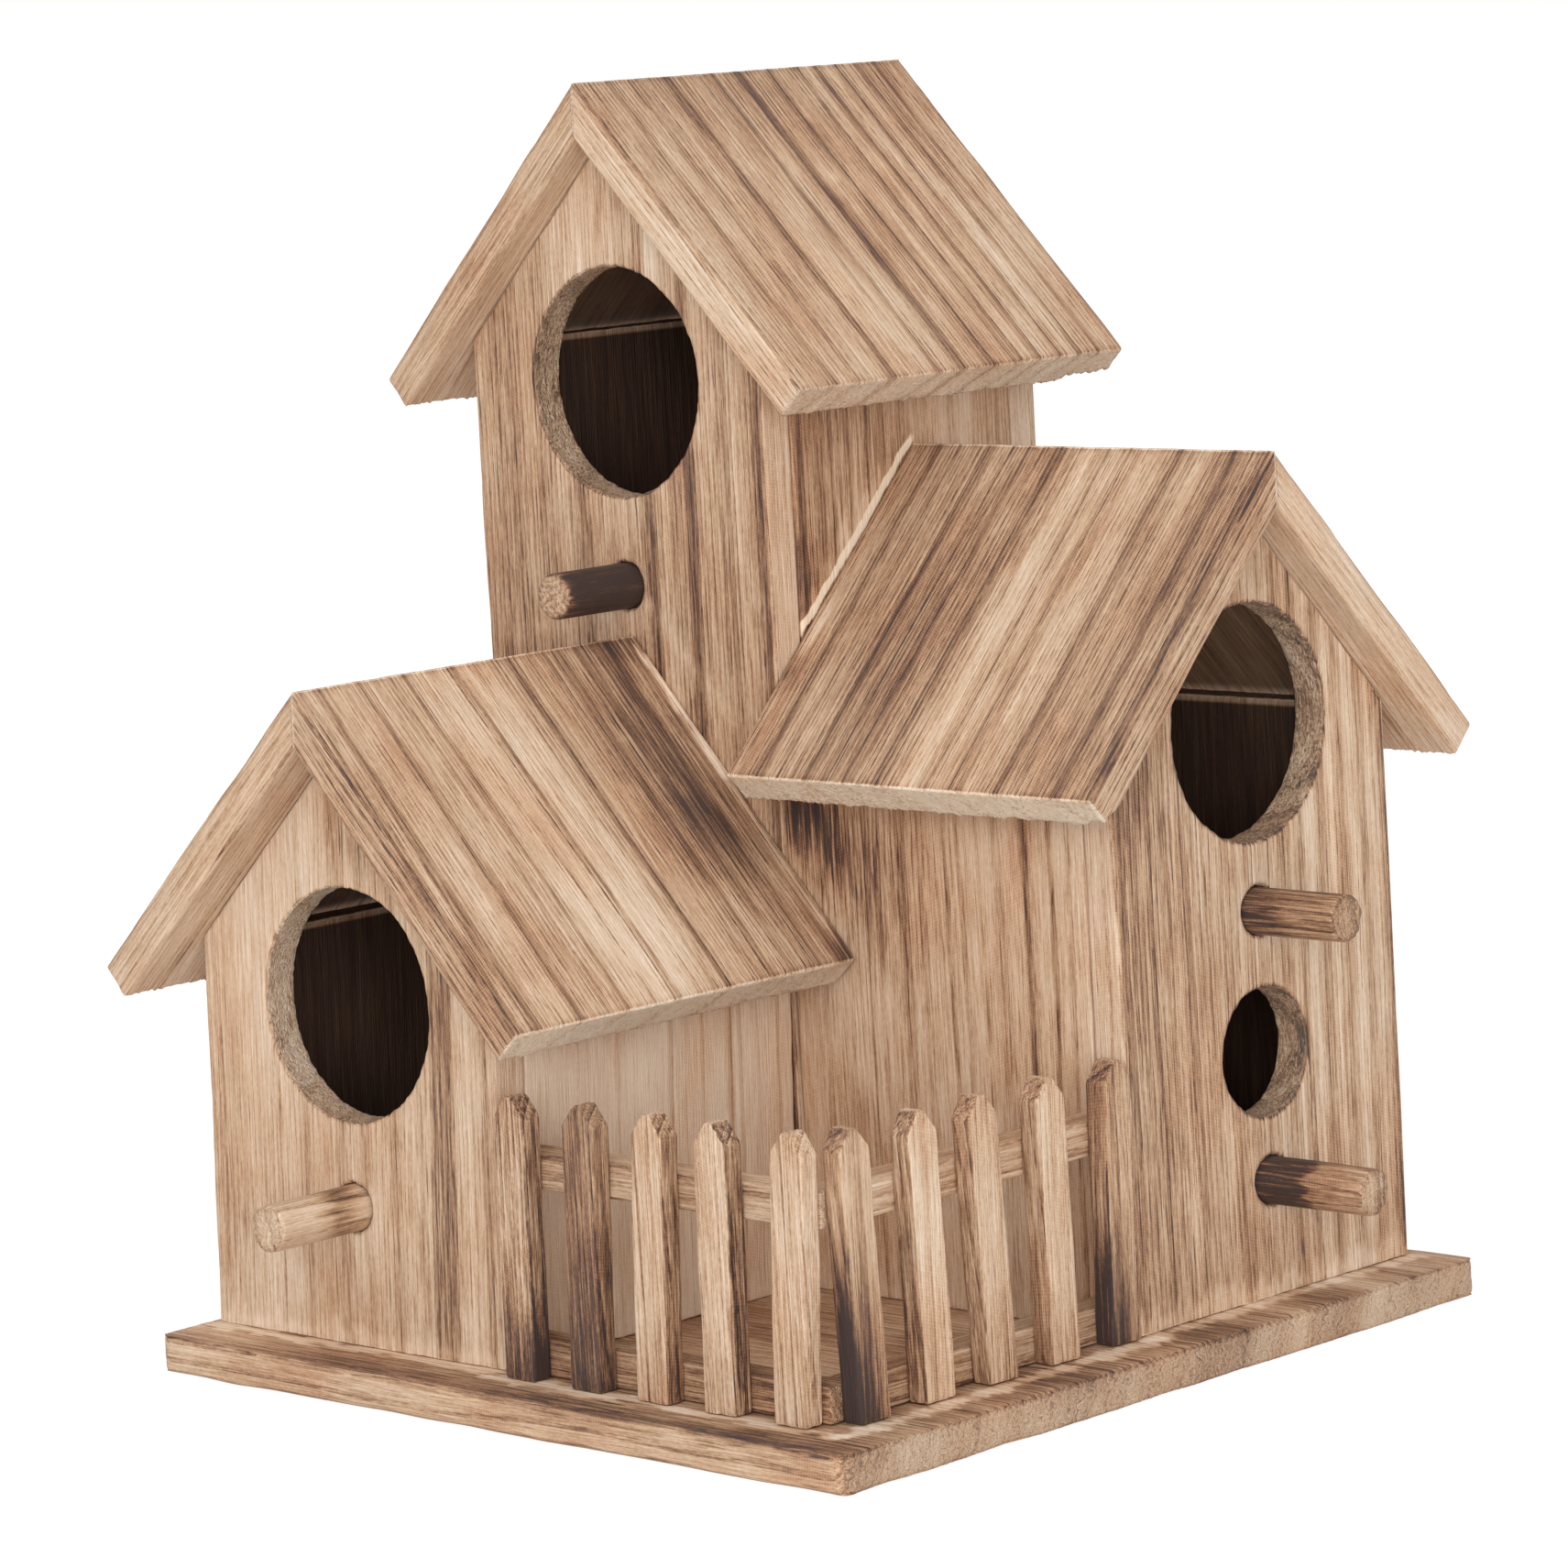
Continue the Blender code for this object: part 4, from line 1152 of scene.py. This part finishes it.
def dowel_outline(length, radius):
    """Places along and out from the axis: hidden end, side, worn arris and sawn tip."""
    from_end, inset = np.array(DOWEL_ARRIS).T
    along = np.concatenate([np.zeros(3), np.linspace(0.25, length - 0.9, DOWEL_RINGS),
                            length - from_end, np.full(5, length)])
    out_to = np.concatenate([radius * np.array([.4, .8, .97]), np.full(DOWEL_RINGS, radius),
                             radius - inset, radius * np.array([.66, .5, .34, .2, .1])])
    return along, out_to


def place_dowel(dowel, context):
    """Builds a stick along its frame node, slightly out of true and with a sawn end, and places it."""
    sizes, settings = context.scene.nest_box_sizes, context.scene.nest_box_finish
    low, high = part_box(dowel.node)
    axis = 0 if "middle" in dowel.node else 1
    length = (high[axis] - low[axis]) / MM
    radius, wall = sizes.perch_radius / MM, sizes.board_thickness / MM
    out = Vector((1, 0, 0)) if axis == 0 else Vector((0, -1, 0))
    across = Vector((0, 1, 0)) if axis == 0 else Vector((1, 0, 0))
    up = out.cross(across)
    origin = (low + high) / 2 / MM - out * length / 2
    seed = dowel.finish.seed
    along, out_to = dowel_outline(length, radius)
    turn, reach = np.meshgrid(np.linspace(0.0, 2 * math.pi, DOWEL_FACETS, endpoint=False), out_to)
    step = np.broadcast_to(along[:, None], reach.shape)
    x, y = reach * np.cos(turn), reach * np.sin(turn)
    fibre = (0.6 * noise(x * 0.9, y * 0.9, step * 0.06, seed)
             + 0.4 * noise(x * 0.3, y * 0.3, step * 0.03, seed + 1)) * settings.grain_relief / MM
    swell = 1 + smooth_step(reach / radius, 0.7, 1.0) * fibre / radius
    x, y = x * swell, y * swell
    sawn = 0.22 * noise(x * 1.4, y * 1.4, 0.0 * x, seed + 2) + dowel.end_slope * (y - x) * 0.5
    step = step + np.minimum(sawn * smooth_step(step, length - 1.0, length), 0.12)
    grid = (np.array(origin)[None, None, :] + x[..., None] * np.array(across)
            + y[..., None] * np.array(up) + step[..., None] * np.array(out))
    places = np.concatenate([grid.reshape(-1, 3), np.array([origin, origin + out * length])])

    number = np.arange(step.size).reshape(step.shape)
    beside = np.roll(number, -1, axis=1)
    quads = np.stack([number[:-1], beside[:-1], beside[1:], number[1:]], axis=-1).reshape(-1, 4)
    first, last = step.size, step.size + 1
    fans = [(first, int(b), int(a)) for a, b in zip(number[0], beside[0])]
    fans += [(last, int(a), int(b)) for a, b in zip(number[-1], beside[-1])]

    x, y, step, reach = (grid.reshape(-1) for grid in (x, y, step, reach))
    share = np.clip((step - wall) / (length - wall), 0.0, 1.0)
    fray = noise(x * 0.7, y * 0.7, step * 0.1, seed + 4)
    flat = smooth_step(step - length + 0.35, 0.0, 0.3)
    rim = 0.18 * np.exp(-((reach - radius) / 0.9) ** 2)
    scorch = (np.interp(share + 0.10 * fray, *zip(*dowel.burn)) * (1.0 - flat)
              + (dowel.tip + rim) * flat)
    mesh = make_mesh(dowel.node, places * MM, quads.tolist() + fans,
                     {"scorch": np.append(scorch, [0.0, dowel.tip]),
                      "end_grain": np.append(flat * 0.4, [0.4, 0.4])})
    name = f"{dowel.node}_dowel"
    material = wood_material(f"wood_{name}", dowel.finish, across, out, up, origin * MM, DOWEL_SIDES,
                             shader_groups(context.scene.nest_box_wood))
    add_piece(name, mesh, material, dowel.node)


# The fence, whose sticks all come from one node tree

def stick_tree():
    """A worn, grained stick that may end in a point, standing on its foot."""
    if "fence_stick" in bpy.data.node_groups:
        return bpy.data.node_groups["fence_stick"]
    tree, graph, given, result = new_group(
        "GeometryNodeTree", "fence_stick",
        [("Width", "Float", 0.008), ("Thickness", "Float", 0.0046), ("Length", "Float", 0.055),
         ("Point Height", "Float", 0.004), ("Tip Width", "Float", 0.0014),
         ("Arris Wear", "Float", 0.0006), ("Relief", "Float", 0.0001), ("Lean", "Float", 0.0),
         ("Foot Scorch", "Float", 0.2), ("Foot Reach", "Float", 0.022), ("Foot Side", "Float", 0.0),
         ("Left Scorch", "Float", 0.0), ("Right Scorch", "Float", 0.0), ("Top Scorch", "Float", 0.0),
         ("Seed", "Float", 0.0), ("Wood", "Material", None)],
        [("Mesh", "Geometry")])
    product, spread, total, combine = graph.product, graph.spread, graph.total, graph.combine
    math_node, vector, seed = graph.math, graph.vector, given["Seed"]
    size = combine(given["Width"], given["Thickness"], given["Length"])
    cube = graph.node("GeometryNodeMeshCube", {"Size": size, "Vertices X": 15, "Vertices Y": 11,
                                               "Vertices Z": 76})

    # Lattice lines are drawn towards the arrises, so that the rounding has lines to bend
    half = graph.scaled(size, 0.5)
    parts = graph.split(vector("DIVIDE", graph.node("GeometryNodeInputPosition").outputs[0], half))
    drawn = combine(*(math_node("SINE", product(parts[axis], math.pi / 2)) for axis in "XY"), parts["Z"])
    place = vector("MULTIPLY", drawn, half)
    uneven = graph.raw_noise(vector("ADD", place, combine(seed, seed, 0.0)), 90.0, 1.0)
    wear = product(given["Arris Wear"], spread(uneven, 0.3, 0.7, 0.55, 1.5))
    inset = combine(wear, wear, wear)
    core = vector("MAXIMUM", vector("MINIMUM", place, vector("SUBTRACT", half, inset)),
                  vector("SUBTRACT", inset, half))
    outward = vector("NORMALIZE", vector("SUBTRACT", place, core))
    grain = graph.raw_noise(vector("ADD", vector("MULTIPLY", place, (900.0, 900.0, 40.0)),
                                   combine(seed, seed, seed)))
    lift = product(spread(grain, 0.25, 0.75, -1.0, 1.0), given["Relief"])
    at = graph.split(vector("ADD", core, graph.scaled(outward, total(wear, lift))))

    # The point narrows the top, and the lean carries each height aside
    half_length = product(given["Length"], 0.5)
    shoulder = math_node("SUBTRACT", half_length, given["Point Height"])
    above = math_node("DIVIDE", math_node("SUBTRACT", at["Z"], shoulder),
                      math_node("MAXIMUM", given["Point Height"], 0.00001), clamp=True)
    narrow = math_node("DIVIDE", given["Tip Width"], given["Width"])
    taper = product(above, math_node("SUBTRACT", narrow, 1.0), 1.0)
    height = total(at["Z"], half_length)
    across = total(product(at["X"], taper), product(height, math_node("TANGENT", given["Lean"])))

    # Scorch at the foot, on either side and at the top
    foot = product(product(given["Foot Scorch"], product(given["Foot Side"], parts["X"], 1.0)),
                   spread(total(height, product(lift, 40.0)), 0.0, given["Foot Reach"], 1.0, 0.0))
    facing = graph.split(outward)
    left = product(given["Left Scorch"], spread(facing["X"], -0.15, -0.8))
    right = product(given["Right Scorch"], spread(facing["X"], 0.15, 0.8))
    top = product(given["Top Scorch"],
                  spread(math_node("SUBTRACT", given["Length"], height), 0.006, 0.0))
    mesh = cube.outputs["Mesh"]
    for label, value in (("scorch", total(total(foot, left), total(right, top))),
                         ("end_grain", product(math_node("ABSOLUTE", facing["Z"]), 0.45))):
        mesh = graph.node("GeometryNodeStoreNamedAttribute", {
            "Geometry": mesh, "Name": label, "Value": value}, data_type="FLOAT", domain="POINT").outputs[0]
    for kind, settings in (("SetPosition", {"Position": combine(across, at["Y"], height)}),
                           ("SetShadeSmooth", {}), ("RealizeInstances", {}),
                           ("SetMaterial", {"Material": given["Wood"]})):
        mesh = graph.node(f"GeometryNode{kind}", {"Geometry": mesh, **settings}).outputs[0]
    graph.put(result["Mesh"], mesh)
    return tree


@dataclass
class Stick:
    """A picket or a rail: its lean in degrees, its finish, and how scorched its foot, sides and top are."""
    lean: float
    finish: Finish
    foot: float = 0.2
    foot_reach: float = 22.0
    foot_side: float = 0.0
    left: float = 0.0
    right: float = 0.0
    top: float = 0.0


def stick_finish(tone, seed, *streaks, contrast=1.15):
    return Finish(tone, list(streaks), seed=seed, slant=0.5, ring_strength=.22,
                  dash_strength=.10, contrast=contrast)


# The pickets of each row, in the order of their nodes' numbers
PICKETS = {
    "front": [
        Stick(1.0, stick_finish(.44, 101, (-2.5, 1.2, .56), (1.5, 1, .38), contrast=1.5), foot=.44,
              foot_side=.5, right=.24),
        Stick(1.8, stick_finish(.62, 103, (0, 2, .70), (2.5, 1, .62)), foot=.30, foot_reach=34, top=.06),
        Stick(2.4, stick_finish(.27, 107, (-2.2, .7, .5), (1.2, .8, .44)), foot=.10, right=.30, top=-.05),
        Stick(0.9, stick_finish(.27, 109, (-3.2, .8, .42), contrast=1.3), foot=.10, right=.42),
        Stick(2.6, stick_finish(.24, 113, (-2.6, .7, .46), (.3, .6, .44), (2.4, .7, .4)), foot=.08,
              right=.05, top=.08),
    ],
    "side": [
        Stick(-2.6, stick_finish(.32, 127, (-3.0, 2.4, .52), (2, 1, .40), contrast=.9), foot=.52,
              foot_reach=38, foot_side=-.75, left=.22, top=.06),
        Stick(-1.9, stick_finish(.18, 131, (-2.6, 1.2, .36), (2.6, .8, .3)), foot=.08, left=.38, top=.04),
        Stick(-3.0, stick_finish(.28, 137, (0, .7, .46), (2.6, .8, .40)), foot=.16, left=.20, top=.04),
        Stick(-1.5, stick_finish(.24, 139, (1, .7, .4), (-1.8, .7, .34)), foot=.12, left=.26, top=.04),
        Stick(0.4, stick_finish(.40, 149, (-2.4, 1.2, .58), (2.4, .8, .5)), foot=.46, foot_reach=30,
              foot_side=-.7, left=.14, top=.04),
    ],
}

RAILS = {
    "fence_front_upper_rail": Stick(0.0, stick_finish(.40, 151, (-2, 1, .56), (1, 1, .3)), foot=.25),
    "fence_front_lower_rail": Stick(0.0, stick_finish(.52, 157, (0, 2, .7)), foot=.1),
    "fence_side_upper_rail": Stick(0.0, stick_finish(.36, 163, (-1, 1, .5), (2, 1, .3)), foot=-.1),
    "fence_side_lower_rail": Stick(0.0, stick_finish(.42, 167, (1, 1, .6)), foot=.15),
}

PICKET_WIDTH = 8.1
PICKET_POINT = 4.0
PICKET_TIP = 1.6
# A stick's arrises are about half as worn as a board's
STICK_WEAR = 0.55
STICK_SIDES = (-4.0, 4.0)


def stick_placement(node, lean, is_rail):
    """The stick's foot, the way along it and across it, and its sizes, from its frame node."""
    low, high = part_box(node)
    size, foot = high - low, (low + high) / 2
    row = 1 if "side" in node else 0
    ways = (Vector((1, 0, 0)), Vector((0, 1, 0)), Vector((0, 0, 1)))
    if is_rail:
        foot -= ways[row] * size[row] / 2
        return foot, ways[row], ways[1 - row], (size.z, size.z, size[row])
    # A leaning picket's foot touches the side of its box that it leans away from
    width = PICKET_WIDTH * MM
    foot[row] = low[row] + width / 2 if lean >= 0 else high[row] - width / 2
    foot.z = low.z
    return foot, ways[2], ways[row], (width, size[1 - row], size.z)


def place_stick(node, stick, context, is_rail=False):
    """Builds one stick with the node tree, makes it a plain mesh and puts it in its place."""
    scene = context.scene
    foot, along, across, (width, thickness, length) = stick_placement(node, stick.lean, is_rail)
    name = f"{node}_stick"
    depth = along.cross(across)
    turn = Matrix((across, depth, along)).transposed().to_4x4()
    material = wood_material(f"wood_{name}", stick.finish, across, along, depth, foot, STICK_SIDES,
                             shader_groups(scene.nest_box_wood))
    holder = bpy.data.objects.new(name, bpy.data.meshes.new(name))
    scene.collection.objects.link(holder)
    modifier = holder.modifiers.new("stick", "NODES")
    modifier.node_group = stick_tree()
    values = {
        "Width": width, "Thickness": thickness, "Length": length,
        "Point Height": 0.0 if is_rail else PICKET_POINT * MM,
        "Tip Width": width if is_rail else PICKET_TIP * MM,
        "Arris Wear": STICK_WEAR * scene.nest_box_finish.arris_wear,
        "Relief": scene.nest_box_finish.grain_relief, "Lean": math.radians(stick.lean),
        "Foot Scorch": stick.foot, "Foot Reach": stick.foot_reach * MM, "Foot Side": stick.foot_side,
        "Left Scorch": stick.left, "Right Scorch": stick.right, "Top Scorch": stick.top,
        "Seed": stick.finish.seed * 1.7, "Wood": material}
    for item in modifier.node_group.interface.items_tree:
        if item.item_type == "SOCKET" and item.in_out == "INPUT":
            modifier[item.identifier] = values[item.name]
    depsgraph = context.evaluated_depsgraph_get()
    mesh = bpy.data.meshes.new_from_object(holder.evaluated_get(depsgraph))
    bpy.data.objects.remove(holder, do_unlink=True)
    mesh.name = name
    mesh.transform(Matrix.Translation(foot) @ turn)
    add_piece(name, mesh, material, node)


# Settings

class NestBoxSizes(bpy.types.PropertyGroup):
    """Sizes that the boards share with the frame."""
    board_thickness: FloatProperty(name="Board Thickness", description="Thickness of walls and roof boards",
                                   default=0.0078, unit="LENGTH", min=0.001)
    roof_pitch: FloatProperty(name="Roof Pitch", description="Slope of every roof board",
                              default=math.radians(45.6), subtype="ANGLE")
    glue_gap: FloatProperty(name="Glue Gap", description="Gap between boards that touch",
                            default=0.0003, unit="LENGTH", min=0.0)
    entrance_radius: FloatProperty(name="Entrance Radius", description="Radius of the large entrances",
                                   default=0.0235, unit="LENGTH", min=0.001)
    small_entrance_radius: FloatProperty(name="Small Entrance Radius",
                                         description="Radius of the middle house's lower entrance",
                                         default=0.0130, unit="LENGTH", min=0.001)
    perch_radius: FloatProperty(name="Perch Radius", description="Radius of the dowel perches",
                                default=0.0047, unit="LENGTH", min=0.001)


class NestBoxWood(bpy.types.PropertyGroup):
    """Colours of the torched wood, from bare to charred."""
    bare: FloatVectorProperty(name="Bare", description="Freshly cut or rubbed wood",
                              default=(0.900, 0.765, 0.610), subtype="COLOR", min=0.0, max=1.0)
    pale: FloatVectorProperty(name="Pale", description="Wood that the flame hardly touched",
                              default=(0.782, 0.622, 0.485), subtype="COLOR", min=0.0, max=1.0)
    light: FloatVectorProperty(name="Light", description="Soft wood between the rings",
                               default=(0.628, 0.450, 0.307), subtype="COLOR", min=0.0, max=1.0)
    tan: FloatVectorProperty(name="Tan", description="Lightly toasted wood",
                             default=(0.466, 0.291, 0.176), subtype="COLOR", min=0.0, max=1.0)
    brown: FloatVectorProperty(name="Brown", description="Scorched wood",
                               default=(0.268, 0.150, 0.088), subtype="COLOR", min=0.0, max=1.0)
    dark: FloatVectorProperty(name="Dark", description="Dark rings and burnt streaks",
                              default=(0.124, 0.066, 0.043), subtype="COLOR", min=0.0, max=1.0)
    char: FloatVectorProperty(name="Char", description="Charred wood",
                              default=(0.050, 0.034, 0.031), subtype="COLOR", min=0.0, max=1.0)


class NestBoxFinish(bpy.types.PropertyGroup):
    """How worn and how deeply grained the wood is."""
    grain_relief: FloatProperty(name="Grain Relief", description="Depth of the brushed grain",
                                default=0.00014, unit="LENGTH", min=0.0)
    arris_wear: FloatProperty(name="Arris Wear", description="Rounding of the worn arrises",
                              default=0.0007, unit="LENGTH", min=0.0001)
    bore_roughness: FloatProperty(name="Bore Roughness", description="Torn fibres in the bored entrances",
                                  default=0.00022, unit="LENGTH", min=0.0)


class NestBoxStudio(bpy.types.PropertyGroup):
    """The floor, the lights and the background."""
    floor: FloatVectorProperty(name="Floor", description="Colour of the floor",
                               default=(0.86, 0.86, 0.86), subtype="COLOR", min=0.0, max=1.0)
    world_level: FloatProperty(name="World Level", description="Strength of the even light",
                               default=0.66, min=0.0)
    overhead: FloatProperty(name="Overhead", description="Power of the large lamp above",
                            default=7.0, unit="POWER", min=0.0)
    front: FloatProperty(name="Front", description="Power of the lamp beside the camera",
                         default=11.0, unit="POWER", min=0.0)
    low: FloatProperty(name="Low", description="Power of the lamp near the floor",
                       default=5.0, unit="POWER", min=0.0)


# Operators

class NESTBOX_OT_base_board(bpy.types.Operator):
    """Build the base board with its burnt rim and pale joints"""
    bl_idname = "nest_box.base_board"
    bl_label = "Base Board"

    def execute(self, context):
        low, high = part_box("base_board")
        length, width, thickness = ((far - near) / MM for far, near in zip(high, low))
        board = Board("base_board_wood", "base_board", Vector((low.x, low.y, high.z)),
                      Vector((0, 1, 0)), Vector((1, 0, 0)), Vector((0, 0, -1)), (0.0, width),
                      square_cut(0.0), square_cut(length), thickness, BASE_FINISH,
                      ragged=(0.1, 0.1), corner=3.6, wear=1.8, face_pitch=0.9, length_pitch=1.3)
        place_board(board, context)
        return {"FINISHED"}


class NESTBOX_OT_short_house(bpy.types.Operator):
    """Build the short house's panel, walls and roof boards"""
    bl_idname = "nest_box.short_house"
    bl_label = "Short House"

    def execute(self, context):
        place_house("short", SHORT_FINISHES, context)
        return {"FINISHED"}


class NESTBOX_OT_tower(bpy.types.Operator):
    """Build the tower's panels, walls and roof boards"""
    bl_idname = "nest_box.tower"
    bl_label = "Tower"

    def execute(self, context):
        place_house("tower", TOWER_FINISHES, context)
        return {"FINISHED"}


class NESTBOX_OT_middle_house(bpy.types.Operator):
    """Build the middle house's panel, walls and roof boards"""
    bl_idname = "nest_box.middle_house"
    bl_label = "Middle House"

    def execute(self, context):
        place_house("middle", MIDDLE_FINISHES, context)
        return {"FINISHED"}


class NESTBOX_OT_perches(bpy.types.Operator):
    """Build the four dowel perches"""
    bl_idname = "nest_box.perches"
    bl_label = "Perches"

    def execute(self, context):
        for dowel in DOWELS:
            place_dowel(dowel, context)
        return {"FINISHED"}


class NESTBOX_OT_fence(bpy.types.Operator):
    """Build the pickets and rails of the fence"""
    bl_idname = "nest_box.fence"
    bl_label = "Picket Fence"

    def execute(self, context):
        for row, sticks in PICKETS.items():
            for number, stick in enumerate(sticks, 1):
                place_stick(f"fence_{row}_picket_{number}", stick, context)
        for node, stick in RAILS.items():
            place_stick(node, stick, context, is_rail=True)
        return {"FINISHED"}


CAMERA_PLACE = (0.828886, -0.866077, 0.275626)
# Heading, pitch and roll
CAMERA_TURN = (math.radians(43.815), math.radians(-7.771), math.radians(-3.081))
CAMERA_LENS = 139.30
CAMERA_SENSOR = 36.0
# Soft lamps as (setting that holds the power, place, what it points at, size)
LAMPS = (("overhead", (0.35, -0.55, 1.9), (0.0, 0.0, 0.1), 1.6),
         ("front", (0.9, -1.5, 0.7), (0.0, 0.0, 0.1), 1.2),
         ("low", (1.1, -0.7, 0.12), (0.0, 0.0, 0.12), 0.8))
# The floor reaches this far to each side, and lies this little below the base board
FLOOR_REACH = 8.0
FLOOR_DROP = 0.0002


def area_lamp(name, place, aim, size, power, context):
    """A round soft lamp that points from its place at what it aims at."""
    lamp = bpy.data.lights.new(name, "AREA")
    lamp.shape = "DISK"
    lamp.size = size
    lamp.energy = power
    holder = bpy.data.objects.new(name, lamp)
    holder.location = place
    holder.rotation_euler = (Vector(aim) - Vector(place)).to_track_quat("-Z", "Y").to_euler()
    context.scene.collection.objects.link(holder)


def camera_matrix(place, turn):
    """A camera's world matrix from its heading, its pitch and its roll."""
    heading, pitch, roll = turn
    ahead = Vector((-math.sin(heading) * math.cos(pitch), math.cos(heading) * math.cos(pitch),
                    math.sin(pitch)))
    level = Vector((math.cos(heading), math.sin(heading), 0.0))
    above = level.cross(ahead)
    right = level * math.cos(roll) + above * math.sin(roll)
    up = above * math.cos(roll) - level * math.sin(roll)
    matrix = Matrix((right, up, -ahead)).transposed().to_4x4()
    matrix.translation = place
    return matrix


class NESTBOX_OT_studio(bpy.types.Operator):
    """Set up the floor, the soft lights, the white background and the camera"""
    bl_idname = "nest_box.studio"
    bl_label = "Studio"

    def execute(self, context):
        scene, studio = context.scene, context.scene.nest_box_studio
        corners = [(x * FLOOR_REACH, y * FLOOR_REACH, -FLOOR_DROP)
                   for x, y in ((-1, -1), (1, -1), (1, 1), (-1, 1))]
        mesh = bpy.data.meshes.new("floor")
        mesh.from_pydata(corners, [], [(0, 1, 2, 3)])
        mesh.materials.append(floor_material(studio.floor))
        floor = bpy.data.objects.new("floor", mesh)
        scene.collection.objects.link(floor)
        scene.world = white_world(studio.world_level)
        for name, place, aim, size in LAMPS:
            area_lamp(f"{name}_lamp", place, aim, size, getattr(studio, name), context)
        lens = bpy.data.cameras.new("camera")
        lens.lens = CAMERA_LENS
        lens.sensor_width = CAMERA_SENSOR
        camera = bpy.data.objects.new("camera", lens)
        camera.matrix_world = camera_matrix(CAMERA_PLACE, CAMERA_TURN)
        scene.collection.objects.link(camera)
        scene.camera = camera
        scene.view_settings.view_transform = "Standard"
        return {"FINISHED"}


WHITE = (1.0, 1.0, 1.0, 1.0)
# What the camera sees of the floor: its shadows come from a little grey under an even glow
FLOOR_SHADOW_GREY = (0.22, 0.22, 0.22, 1.0)
FLOOR_GLOW = 0.9


def floor_material(colour):
    """A pale floor that the camera sees as white, with the object's soft shadow on it."""
    material = bpy.data.materials.new("pale_floor")
    material.use_nodes = True
    graph = Graph(material.node_tree)
    nodes = material.node_tree.nodes
    nodes.remove(nodes["Principled BSDF"])
    plain = graph.node("ShaderNodeBsdfDiffuse", {"Color": (*colour, 1.0)})
    faint = graph.node("ShaderNodeBsdfDiffuse", {"Color": FLOOR_SHADOW_GREY})
    glow = graph.node("ShaderNodeEmission", {"Color": WHITE, "Strength": FLOOR_GLOW})
    seen = graph.node("ShaderNodeAddShader", {0: faint.outputs[0], 1: glow.outputs[0]})
    mix = graph.node("ShaderNodeMixShader", {0: seen_directly(graph), 1: plain.outputs[0],
                                             2: seen.outputs[0]})
    graph.put(nodes["Material Output"].inputs["Surface"], mix.outputs[0])
    return material


def seen_directly(graph):
    """1 for rays from the camera, a mirror or clear glass."""
    path = graph.node("ShaderNodeLightPath").outputs
    either = graph.math("MAXIMUM", path["Is Camera Ray"], path["Is Glossy Ray"])
    return graph.math("MAXIMUM", either, path["Is Transmission Ray"])


def white_world(level):
    """Even light at one level, and white where the camera sees the background."""
    world = bpy.data.worlds.new("white_studio")
    world.use_nodes = True
    graph = Graph(world.node_tree)
    background = world.node_tree.nodes["Background"]
    graph.put(background.inputs["Color"], WHITE)
    graph.put(background.inputs["Strength"], graph.spread(seen_directly(graph), 0.0, 1.0, level, 1.0))
    return world


class NESTBOX_PT_panel(bpy.types.Panel):
    """Builds the nest box piece by piece"""
    bl_idname = "NESTBOX_PT_panel"
    bl_label = "Nest Box"
    bl_space_type = "VIEW_3D"
    bl_region_type = "UI"
    bl_category = "Nest Box"

    def draw(self, context):
        for operator in OPERATORS:
            self.layout.operator(operator.bl_idname)
        for group in SETTINGS:
            settings = getattr(context.scene, group)
            box = self.layout.box()
            for name in settings.__annotations__:
                box.prop(settings, name)


OPERATORS = (NESTBOX_OT_base_board, NESTBOX_OT_short_house, NESTBOX_OT_tower, NESTBOX_OT_middle_house,
             NESTBOX_OT_perches, NESTBOX_OT_fence, NESTBOX_OT_studio)
SETTINGS = {"nest_box_sizes": NestBoxSizes, "nest_box_wood": NestBoxWood,
            "nest_box_finish": NestBoxFinish, "nest_box_studio": NestBoxStudio}


def register():
    for settings in SETTINGS.values():
        bpy.utils.register_class(settings)
    for operator in OPERATORS:
        bpy.utils.register_class(operator)
    bpy.utils.register_class(NESTBOX_PT_panel)
    for name, settings in SETTINGS.items():
        setattr(bpy.types.Scene, name, PointerProperty(type=settings))


def unregister():
    for name in SETTINGS:
        delattr(bpy.types.Scene, name)
    bpy.utils.unregister_class(NESTBOX_PT_panel)
    for operator in reversed(OPERATORS):
        bpy.utils.unregister_class(operator)
    for settings in SETTINGS.values():
        bpy.utils.unregister_class(settings)


def main():
    register()
    bpy.ops.nest_box.base_board()
    bpy.ops.nest_box.short_house()
    bpy.ops.nest_box.tower()
    bpy.ops.nest_box.middle_house()
    bpy.ops.nest_box.perches()
    bpy.ops.nest_box.fence()
    bpy.ops.nest_box.studio()


if __name__ == "__main__":
    main()
